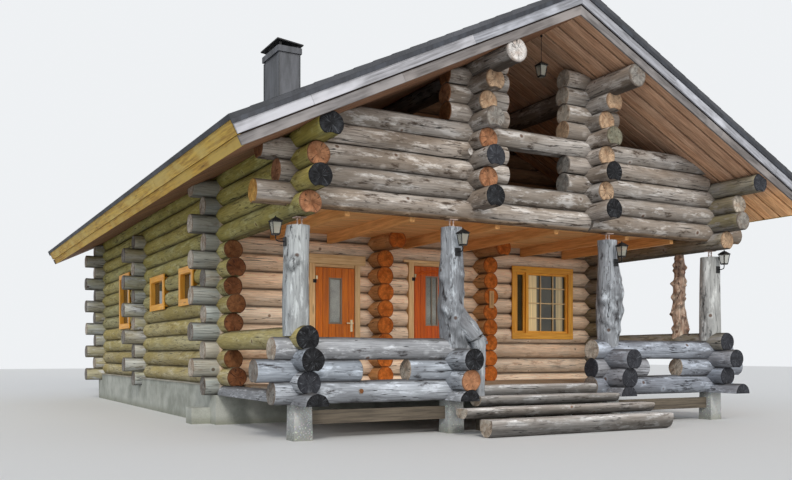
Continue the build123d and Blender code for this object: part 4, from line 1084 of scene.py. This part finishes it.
def half_log_outline(width, top, base):
    """Section of a hewn half log: a flat top, rounded flanks down to its base, as (across, height).

    The flanks are a superellipse: across runs as the cosine and depth as a power of the sine.
    """
    turn = np.linspace(0, pi, 15)
    half, depth = width / 2, (top - base) * 0.84
    flank = np.stack([half * np.cos(turn) * (1 - 0.16 * np.sin(turn)),
                      base + depth - depth * np.sin(turn) ** 0.55], axis=-1)
    upper = np.array([(0.005 - half, top - 0.010), (0.018 - half, top - 0.001), (-half / 2, top), (0, top),
                      (half / 2, top), (half - 0.018, top - 0.001), (half - 0.005, top - 0.010)])
    return np.concatenate([flank, upper])


steps = Piece()
for low, high in solid_boxes("porch_steps"):
    outline = half_log_outline(high[1] - low[1], high[2], low[2])
    station = np.concatenate([[low[0]] * 2, np.linspace(low[0] + 0.01, high[0] - 0.01, 44), [high[0]] * 2])
    pinch = np.ones(len(station))
    pinch[[0, -1]] = 0.5
    pinch[[1, -2]] = 0.97
    turn = np.linspace(0, 2 * pi, len(outline))
    shake = wave(turn[None, :], station[:, None], 4, 0.008, (1, 5), (1.0, 6.0))
    centre_y, centre_z = (low[1] + high[1]) / 2, (low[2] + high[2]) / 2
    y = outline[None, :, 0] * (1 - abs(shake) / 0.1) * pinch[:, None]
    z = centre_z + (outline[None, :, 1] - centre_z + shake * 0.5) * pinch[:, None]
    x = np.broadcast_to(station[:, None], y.shape)
    rings = np.stack([x, centre_y + y, np.clip(z, low[2], high[2])], axis=-1)
    # Painted light: the top is far paler than the flanks, as sunlight on it
    painted_top_light = (0.65 + 2.9 * ((outline[:, 1] - low[2]) / (high[2] - low[2])) ** 5)[None, :, None]
    shade = np.broadcast_to(some_tint(0.08, 0.03) * painted_top_light, rings.shape)
    grain = np.stack([rings[..., 0] + rng.uniform(0, 60), y, z - centre_z], axis=-1)
    steps.tube(rings, grain, shade, (PALE, PALE), cut=1)
steps.make("hewn_steps", (step_sides, sawn), "step_logs", stands_for=("porch_steps",))

sills = Piece()
for side in (-1, 1):
    for start, end in sill_boards:
        sills.plank((side * sill_inner, start, sill_foot), (side * sill_outer, end, sill_top), 1, 0.003,
                    some_tint(0.06, 0.02))
sills.make("foundation_sills", (sill_wood,), "grey_boards")

# CAD nodes that stay as they are, and the corner seams of the chimney's sheet


def finish_node(node, material):
    """Gives a CAD node that stays as it is a finish of its own."""
    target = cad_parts[node]
    target.data.materials.clear()
    target.data.materials.append(material)


black_metal = sheet_metal("black_fittings", colour(38, 38, 40), colour(26, 26, 27), 0.45, 0.6)
for node, finish in (
        ("foundation", concrete("cast_foundation", colour(180, 182, 174), colour(140, 143, 134))),
        ("post_pedestals", concrete("pebbled_pedestals", colour(180, 183, 180), colour(134, 137, 136), 0.7)),
        ("room_floor", board("room_boards", colour(182, 146, 100), colour(140, 106, 68), "object",
                             (26.0, 1.4, 26.0))),
        # The porch framing takes the skirts' darkened colours: painted shade under the porch
        ("porch_framing", board("skirt_boards", colour(106, 98, 86), colour(72, 66, 58), "object",
                                (1.6, 34.0, 34.0))),
        ("balcony_joists", board("carried_joists", colour(244, 188, 122), colour(210, 148, 88), "object",
                                 (30.0, 1.6, 30.0))),
        ("roof_flashings", sheet_metal("dark_flashings", colour(62, 66, 74), colour(44, 46, 52))),
        ("chimney", sheet_metal("chimney_sheet", colour(92, 94, 100), colour(66, 68, 72), 0.5)),
        ("chimney_cap", sheet_metal("chimney_cap_sheet", colour(40, 40, 42), colour(28, 28, 30), 0.5)),
        ("door_frame_hinges", black_metal)):
    finish_node(node, finish)

collar_reach = 0.035
seam_half = 0.012
seam_top = 7.20
seam_sheet = sheet_metal("chimney_seams", colour(80, 82, 86), colour(58, 60, 62), 0.5)
chimney_trim = Piece()
low, high = (np.array(corner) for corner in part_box("chimney"))
for x in (low[0] + collar_reach, high[0] - collar_reach):
    for y in (low[1] + collar_reach, high[1] - collar_reach):
        chimney_trim.plank((x - seam_half, y - seam_half, low[2] + 0.06),
                           (x + seam_half, y + seam_half, seam_top), 2, 0.004)
chimney_trim.make("chimney_sheet_seams", (seam_sheet,), "chimney_metal")

# Doors

face_board = 0.012
board_count = 6
lite_rim = 0.028
arch_reach, arch_rise = 0.315, 0.065
casing_wood = board("pale_casings", colour(234, 202, 152), colour(202, 162, 112), rough=0.6)
left_door_wood = board("left_door_boards", colour(222, 120, 0), colour(186, 92, 0), rough=0.5, coat=0.1)
middle_door_wood = board("middle_door_boards", colour(214, 98, 0), colour(178, 70, 0), rough=0.5, coat=0.1)
lite_frame = board("grey_lite_frames", colour(150, 140, 124), colour(120, 110, 98), rough=0.6)
fitting_metal = sheet_metal("door_fittings", colour(206, 192, 160), colour(168, 152, 120), 0.3, 0.85)
door_glass = glazing("pressed_door_glass", colour(112, 116, 112), pattern=0.6)


def boarded_leaf(low, high, left, right, foot, head):
    """A core with an opening from left to right and foot to head, and upright boards on both faces."""
    leaf = Piece()
    for x_low, x_high, z_low, z_high in ((low[0], left, low[2], high[2]), (right, high[0], low[2], high[2]),
                                         (left, right, low[2], foot), (left, right, head, high[2])):
        leaf.plank((x_low, low[1] + face_board, z_low), (x_high, high[1] - face_board, z_high), 2, 0.001)
    edges = np.linspace(low[0], high[0], board_count + 1)
    for y_low, y_high in ((low[1], low[1] + face_board), (high[1] - face_board, high[1])):
        for start, end in zip(edges, edges[1:]):
            spans = [(low[2], high[2])]
            if start < right and end > left:
                spans = [(low[2], foot - 0.02), (head + 0.02, high[2])]
            for z_low, z_high in spans:
                leaf.plank((start + 0.0015, y_low, z_low), (end - 0.0015, y_high, z_high), 2, 0.004,
                           some_tint(0.08, 0.04))
    return leaf


def lite_rims(low, high, lites, left, right, foot, head):
    """Grey frames round the glass on both faces, with a bar between two lites."""
    rims = Piece()
    bars = [(left - lite_rim, left), (right, right + lite_rim)]
    if len(lites) > 1:
        bars.append((lites[0][1][0], lites[1][0][0]))
    for y_low, y_high in ((low[1] - 0.0015, low[1] + 0.02), (high[1] - 0.02, high[1] + 0.006)):
        for x_low, x_high in bars:
            rims.plank((x_low, y_low, foot - lite_rim), (x_high, y_high, head + lite_rim), 2, 0.004)
        for z_low, z_high in ((foot - lite_rim, foot), (head, head + lite_rim)):
            rims.plank((left, y_low, z_low), (right, y_high, z_high), 0, 0.004)
    return rims


def face_mouldings(low, high, arched):
    """A slim upright strip near each edge, and on an arched leaf two parabolas across its head."""
    mouldings = Piece()
    front = low[1] + 0.001
    share = np.linspace(-1, 1, 25)
    if arched:
        for drop in (0.135, 0.170):
            arch = np.stack([(low[0] + high[0]) / 2 + arch_reach * share, np.full(25, front),
                             high[2] - drop + arch_rise * (1 - share ** 2)], axis=-1)
            along_path(mouldings, arch, np.full(25, 0.010), 8)
    top = high[2] - (0.15 if arched else 0.05)
    for x_low, x_high in ((low[0] + 0.03, low[0] + 0.05), (high[0] - 0.05, high[0] - 0.03)):
        mouldings.plank((x_low, front - 0.006, low[2] + 0.06), (x_high, front + 0.004, top), 2, 0.004)
    return mouldings


for name, wood in (("left", left_door_wood), ("middle", middle_door_wood)):
    body = f"{name}_door"
    surround = Piece()
    for low, high in solid_boxes(f"{name}_door_frame"):
        surround.plank(low, high, int(np.argmax(high - low)), 0.004, some_tint(0.05, 0.03))
    surround.make(f"{name}_door_surround", (casing_wood,), "frame_wood", stands_for=(f"{name}_door_frame",))
    low, high = (np.array(corner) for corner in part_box(f"{name}_door_leaf"))
    lites = sorted(solid_boxes(f"{name}_door_glass"), key=lambda pair: pair[0][0])
    opening = (lites[0][0][0], lites[-1][1][0], lites[0][0][2], lites[0][1][2])
    leaf = boarded_leaf(low, high, *opening)
    leaf.make(f"{name}_door_boarded_leaf", (wood,), "door_wood", body, (f"{name}_door_leaf",))
    lite_rims(low, high, lites, *opening).make(f"{name}_door_lite_frames", (lite_frame,), "door_wood", body)
    finish_node(f"{name}_door_glass", door_glass)
    finish_node(f"{name}_door_fittings", fitting_metal)
    mouldings = face_mouldings(low, high, arched=name == "middle")
    mouldings.make(f"{name}_door_mouldings", (wood,), "door_wood", body)

# Windows

sash_front, bar_front, cross_bar_front, sash_back = 2.930, 2.945, 2.947, 2.9715
mullion_front, mullion_left, mullion_right = 2.889, 2.080, 2.140
light_left, light_right, light_foot, light_head = 1.874, 3.110, 1.504, 2.647
sash_rail, sash_stile = 0.040, 0.035
bar_half = 0.010
trim_thick, trim_wide = 0.025, 0.115
lining_lap, lining_wide = 0.055, 0.060
cabin_middle = (0.0, 6.0)
# Curtains behind the front window: (left edge, right edge, share of the room that each hides)
curtains = ((2.14, 2.40, 0.9), (2.90, 3.02, 0.55))
window_wood = board("window_casings", colour(244, 180, 70), colour(216, 146, 44), rough=0.55, coat=0.1)
bar_wood = board("window_bars", colour(232, 206, 160), colour(204, 174, 126), rough=0.6)


def open_frame(piece, low, high, flat, rail, stile, varied=True):
    """Two rails across a box that is thin along one axis, at its foot and head, and two stiles between."""
    side = 1 - flat
    for z_low, z_high in ((low[2], low[2] + rail), (high[2] - rail, high[2])):
        first, last = np.array(low), np.array(high)
        first[2], last[2] = z_low, z_high
        piece.plank(first, last, side, 0.004, some_tint(0.06, 0.03) if varied else (1, 1, 1))
    for side_low, side_high in ((low[side], low[side] + stile), (high[side] - stile, high[side])):
        first, last = np.array(low), np.array(high)
        first[2], last[2] = low[2] + rail, high[2] - rail
        first[side], last[side] = side_low, side_high
        piece.plank(first, last, 2, 0.004, some_tint(0.06, 0.03) if varied else (1, 1, 1))


windows = Piece()
windows.plank((mullion_left, mullion_front, light_foot), (mullion_right, sash_back, light_head), 2, 0.004)
for start, end in ((light_left, mullion_left), (mullion_right, light_right)):
    open_frame(windows, (start, sash_front, light_foot), (end, sash_back, light_head), 1, sash_rail,
               sash_stile, varied=False)
first, last = mullion_right + sash_stile, light_right - sash_stile
for k in (1, 2):
    x = first + (last - first) * k / 3
    windows.plank((x - bar_half, bar_front, light_foot + sash_rail),
                  (x + bar_half, sash_back, light_head - sash_rail), 2, 0.003, slots=(1, 1))
for k in (1, 2, 3):
    z = light_foot + (light_head - light_foot) * k / 4
    windows.plank((first, cross_bar_front, z - bar_half), (last, sash_back, z + bar_half), 0, 0.003,
                  slots=(1, 1))
for low, high in solid_boxes("window_frames"):
    if abs(low[0] - mullion_left) < 0.005:
        continue
    flat = 0 if high[0] - low[0] < high[1] - low[1] else 1
    if (low[flat] + high[flat]) / 2 > cabin_middle[flat]:
        trim, lining = (high[flat] - trim_thick, high[flat]), (low[flat], high[flat] - trim_thick)
    else:
        trim, lining = (low[flat], low[flat] + trim_thick), (low[flat] + trim_thick, high[flat])
    for depth, lap, wide in ((trim, 0.0, trim_wide), (lining, lining_lap, lining_wide)):
        first, last = low + lap, high - lap
        first[flat], last[flat] = depth
        open_frame(windows, first, last, flat, wide, wide)
windows.make("pine_window_frames", (window_wood, bar_wood), "frame_wood", stands_for=("window_frames",))
# The dark glass is painted shade: the unlit room behind the window
finish_node("window_glass", glazing("dark_window_glass", colour(52, 50, 36), curtains=curtains))

# Jack screws over the posts

jack_plate = 0.008
thread_radius, thread_depth, thread_pitch = 0.009, 0.001, 0.009
screw_spread = 0.030
nut_radius, nut_half = 0.016, 0.006
jack_steel = sheet_metal("jack_steel", colour(206, 186, 176), colour(168, 146, 136), 0.4, 0.5)
jacks = Piece()
for low, high in solid_boxes("post_jacks"):
    x, y = (low[:2] + high[:2]) / 2
    for z_low, z_high in ((low[2], low[2] + jack_plate), (high[2] - jack_plate, high[2])):
        jacks.plank((low[0], low[1], z_low), (high[0], high[1], z_high), 0, 0.001)
    station = np.linspace(low[2] + jack_plate, high[2] - jack_plate, 45)[:, None]
    angle = 2 * pi * np.arange(16) / 16
    radius = thread_radius + thread_depth * np.sin(2 * pi * station / thread_pitch + angle[None, :])
    for screw in (x - screw_spread, x + screw_spread):
        rings = np.stack([screw + radius * np.cos(angle), y + radius * np.sin(angle),
                          np.broadcast_to(station, radius.shape)], axis=-1)
        jacks.tube(rings, rings.copy(), slots=(0, 0))
        for level in (low[2] + 0.030, high[2] - 0.030):
            along_path(jacks, [(screw, y, level - nut_half), (screw, y, level + nut_half)],
                       [nut_radius, nut_radius], 6, slots=(0, 0))
jacks.make("threaded_jacks", (jack_steel,), "jack_steel", stands_for=("post_jacks",))

# Lanterns

post_lantern_base = 2.590
lantern_reach = 0.075
low_half, high_half = 0.040, 0.062
# Steps of (height over the base or the lid's edge, half width)
foot_steps = ((0.0, 0.030), (0.004, 0.042), (0.014, 0.042))
lid_steps = ((0.0, 0.073), (0.006, 0.074), (0.030, 0.046), (0.052, 0.020), (0.056, 0.012))
glass_foot, glass_head = 0.014, 0.172
finial = ((0.0, 0.006), (0.004, 0.010), (0.010, 0.010), (0.016, 0.005), (0.022, 0.001))


def square_tube(piece, x, y, base, steps, slots=(0, 1)):
    """A square tube about an upright line, from steps of (height over its base, half width)."""
    corners = ((-1, -1), (1, -1), (1, 1), (-1, 1))
    rings = np.array([[(x + a * half, y + b * half, base + up) for a, b in corners] for up, half in steps])
    piece.tube(rings, rings.copy(), slots=slots)


def add_lantern(piece, x, y, base):
    """A tapered four-sided lantern: a foot, corner bars round the glass, a hipped lid with a finial."""
    foot, lid = base + glass_foot, base + glass_head
    square_tube(piece, x, y, base, foot_steps)
    glass_steps = ((glass_foot, low_half - 0.004), (glass_head, high_half - 0.004))
    square_tube(piece, x, y, base, glass_steps, (1, 1))
    for a, b in ((-1, -1), (1, -1), (1, 1), (-1, 1)):
        path = [(x + a * half, y + b * half, z) for z, half in ((foot, low_half), (lid, high_half))]
        along_path(piece, path, [0.006, 0.006], 6, slots=(0, 0))
    for half, z in ((low_half, foot + 0.004), (high_half, lid - 0.004)):
        for a, b in ((0, -1), (0, 1), (-1, 0), (1, 0)):
            path = [(x + a * half - turn * b * half, y + b * half + turn * a * half, z) for turn in (1, -1)]
            along_path(piece, path, [0.005, 0.005], 6, slots=(0, 0))
    square_tube(piece, x, y, lid, lid_steps)
    tip = lid + lid_steps[-1][0]
    along_path(piece, [(x, y, tip + up) for up, radius in finial], [radius for up, radius in finial], 10,
               slots=(0, 0))


def hanging_lantern(piece, x, y, base, hook):
    """A lantern on a straight rod under a hook."""
    add_lantern(piece, x, y, base)
    along_path(piece, [(x, y, base + 0.24), (x, y, hook)], [0.004, 0.004], 8, slots=(0, 0))
    along_path(piece, [(x, y, hook - 0.03), (x, y, hook)], [0.012, 0.018], 10, slots=(0, 0))


def bracket_lantern(piece, centre, wall, base):
    """A lantern on a curved stem that springs from a plate on a post or a log."""
    add_lantern(piece, *centre, base)
    toward = (wall - centre) / np.linalg.norm(wall - centre)
    aside = np.array([toward[1], toward[0]])
    piece.plank((*(wall - toward * 0.014 - aside * 0.045), base - 0.128),
                (*(wall + aside * 0.045), base - 0.015), 2, 0.004)
    stem = smooth_path([(*(wall - toward * 0.010), base - 0.070), (*(wall - toward * 0.06), base - 0.075),
                        (*(centre + toward * 0.012), base - 0.065), (*centre, base - 0.034),
                        (*centre, base + 0.002)], 20)
    along_path(piece, stem, np.full(20, 0.0075), 8, slots=(0, 0))


lamp_glass = Finish("lantern_glass", roughness=0.12, Alpha=0.5, Base_Color=(*colour(170, 170, 158), 1))
lantern_set = Piece()
for low, high in solid_boxes("lanterns"):
    if high[2] > 4:
        hanging_lantern(lantern_set, 0.0, -0.180, low[2], high[2])
    elif high[0] < -3.9:
        centre = low[:2] + lantern_reach
        bracket_lantern(lantern_set, centre, np.array([high[0], centre[1]]), post_lantern_base)
    else:
        centre = np.array([(low[0] + high[0]) / 2, low[1] + lantern_reach])
        bracket_lantern(lantern_set, centre, np.array([centre[0], high[1]]), post_lantern_base)
lantern_set.make("lantern_set", (black_metal, lamp_glass.material), "lantern_metal", stands_for=("lanterns",))

# Thermometer on the second cross wall: a plate, a raised edge and a dark tube

plate_left, plate_right, plate_foot, plate_head = 1.030, 1.130, 1.935, 2.245
plate_front, plate_back, edge_front = 2.594, 2.606, 2.586
thermometer = Piece()
thermometer.plank((plate_left, plate_front, plate_foot), (plate_right, plate_back, plate_head), 2, 0.004)
for x in (1.034, 1.114):
    thermometer.plank((x, edge_front, 1.940), (x + 0.012, plate_front, 2.240), 2, 0.002)
for z in (1.945, 2.228):
    thermometer.plank((1.046, edge_front, z), (1.114, plate_front, z + 0.010), 0, 0.002)
thermometer.plank((1.078, 2.588, 1.980), (1.084, 2.5935, 2.20), 2, 0.001, slots=(1, 1))
plate_wood = board("thermometer_plate", colour(214, 176, 124), colour(184, 140, 92), rough=0.5)
thermometer.make("wall_thermometer", (plate_wood, black_metal), "frame_wood")

# Studio

reach = 60.0
floor_mesh = bpy.data.meshes.new("floor")
floor_mesh.from_pydata([(-reach, -reach, 0), (reach, -reach, 0), (reach, reach, 0), (-reach, reach, 0)], [],
                       [(0, 1, 2, 3)])
floor_mesh.materials.append(Finish("pale_floor", roughness=0.95, Base_Color=(0.78, 0.78, 0.77, 1)).material)
floor = bpy.data.objects.new("floor", floor_mesh)
bpy.context.scene.collection.objects.link(floor)


def studio_world(light, strength, backdrop):
    """Soft light from all round, and a pale backdrop that the camera, gloss and glass see instead."""
    world = bpy.data.worlds.new("studio")
    bpy.context.scene.world = world
    world.use_nodes = True
    tree = world.node_tree
    background = tree.nodes["Background"]
    background.inputs["Color"].default_value = light
    background.inputs["Strength"].default_value = strength
    seen = tree.nodes.new("ShaderNodeBackground")
    seen.inputs["Color"].default_value = backdrop
    seen.inputs["Strength"].default_value = 1.0
    rays = tree.nodes.new("ShaderNodeLightPath")
    share = rays.outputs["Is Camera Ray"]
    for ray in ("Is Glossy Ray", "Is Transmission Ray"):
        either = tree.nodes.new("ShaderNodeMath")
        either.operation = "MAXIMUM"
        tree.links.new(share, either.inputs[0])
        tree.links.new(rays.outputs[ray], either.inputs[1])
        share = either.outputs[0]
    chosen = tree.nodes.new("ShaderNodeMixShader")
    tree.links.new(share, chosen.inputs[0])
    tree.links.new(background.outputs[0], chosen.inputs[1])
    tree.links.new(seen.outputs[0], chosen.inputs[2])
    tree.links.new(chosen.outputs[0], tree.nodes["World Output"].inputs["Surface"])


def sun(name, direction, strength, soft, tone):
    """A distant lamp that shines along a direction, with soft edges to its shadows."""
    lamp = bpy.data.lights.new(name, "SUN")
    lamp.energy = strength
    lamp.angle = radians(soft)
    lamp.color = tone
    made = bpy.data.objects.new(name, lamp)
    made.rotation_euler = Vector(direction).to_track_quat("-Z", "Y").to_euler()
    bpy.context.scene.collection.objects.link(made)


studio_world((0.80, 0.86, 0.95, 1), 0.5, (0.86, 0.88, 0.9, 1))
sun("key", (0.35, 0.85, -0.62), 1.3, 12, (1.0, 0.96, 0.90))
sun("side", (0.9, 0.5, -0.40), 0.6, 40, (0.95, 0.97, 1.0))
sun("low", (-0.05, 0.95, -0.14), 1.3, 30, (1.0, 0.95, 0.88))

lens = bpy.data.cameras.new("view")
lens.lens = 39.455
lens.sensor_width = 36.0
lens.shift_y = 0.1443
lens.clip_end = 200.0
camera = bpy.data.objects.new("view", lens)
camera.location = (-8.05, -10.287, 1.098)
camera.rotation_euler = (radians(90), 0, radians(-29.031))
bpy.context.scene.collection.objects.link(camera)
bpy.context.scene.camera = camera
bpy.context.scene.view_settings.view_transform = "Standard"
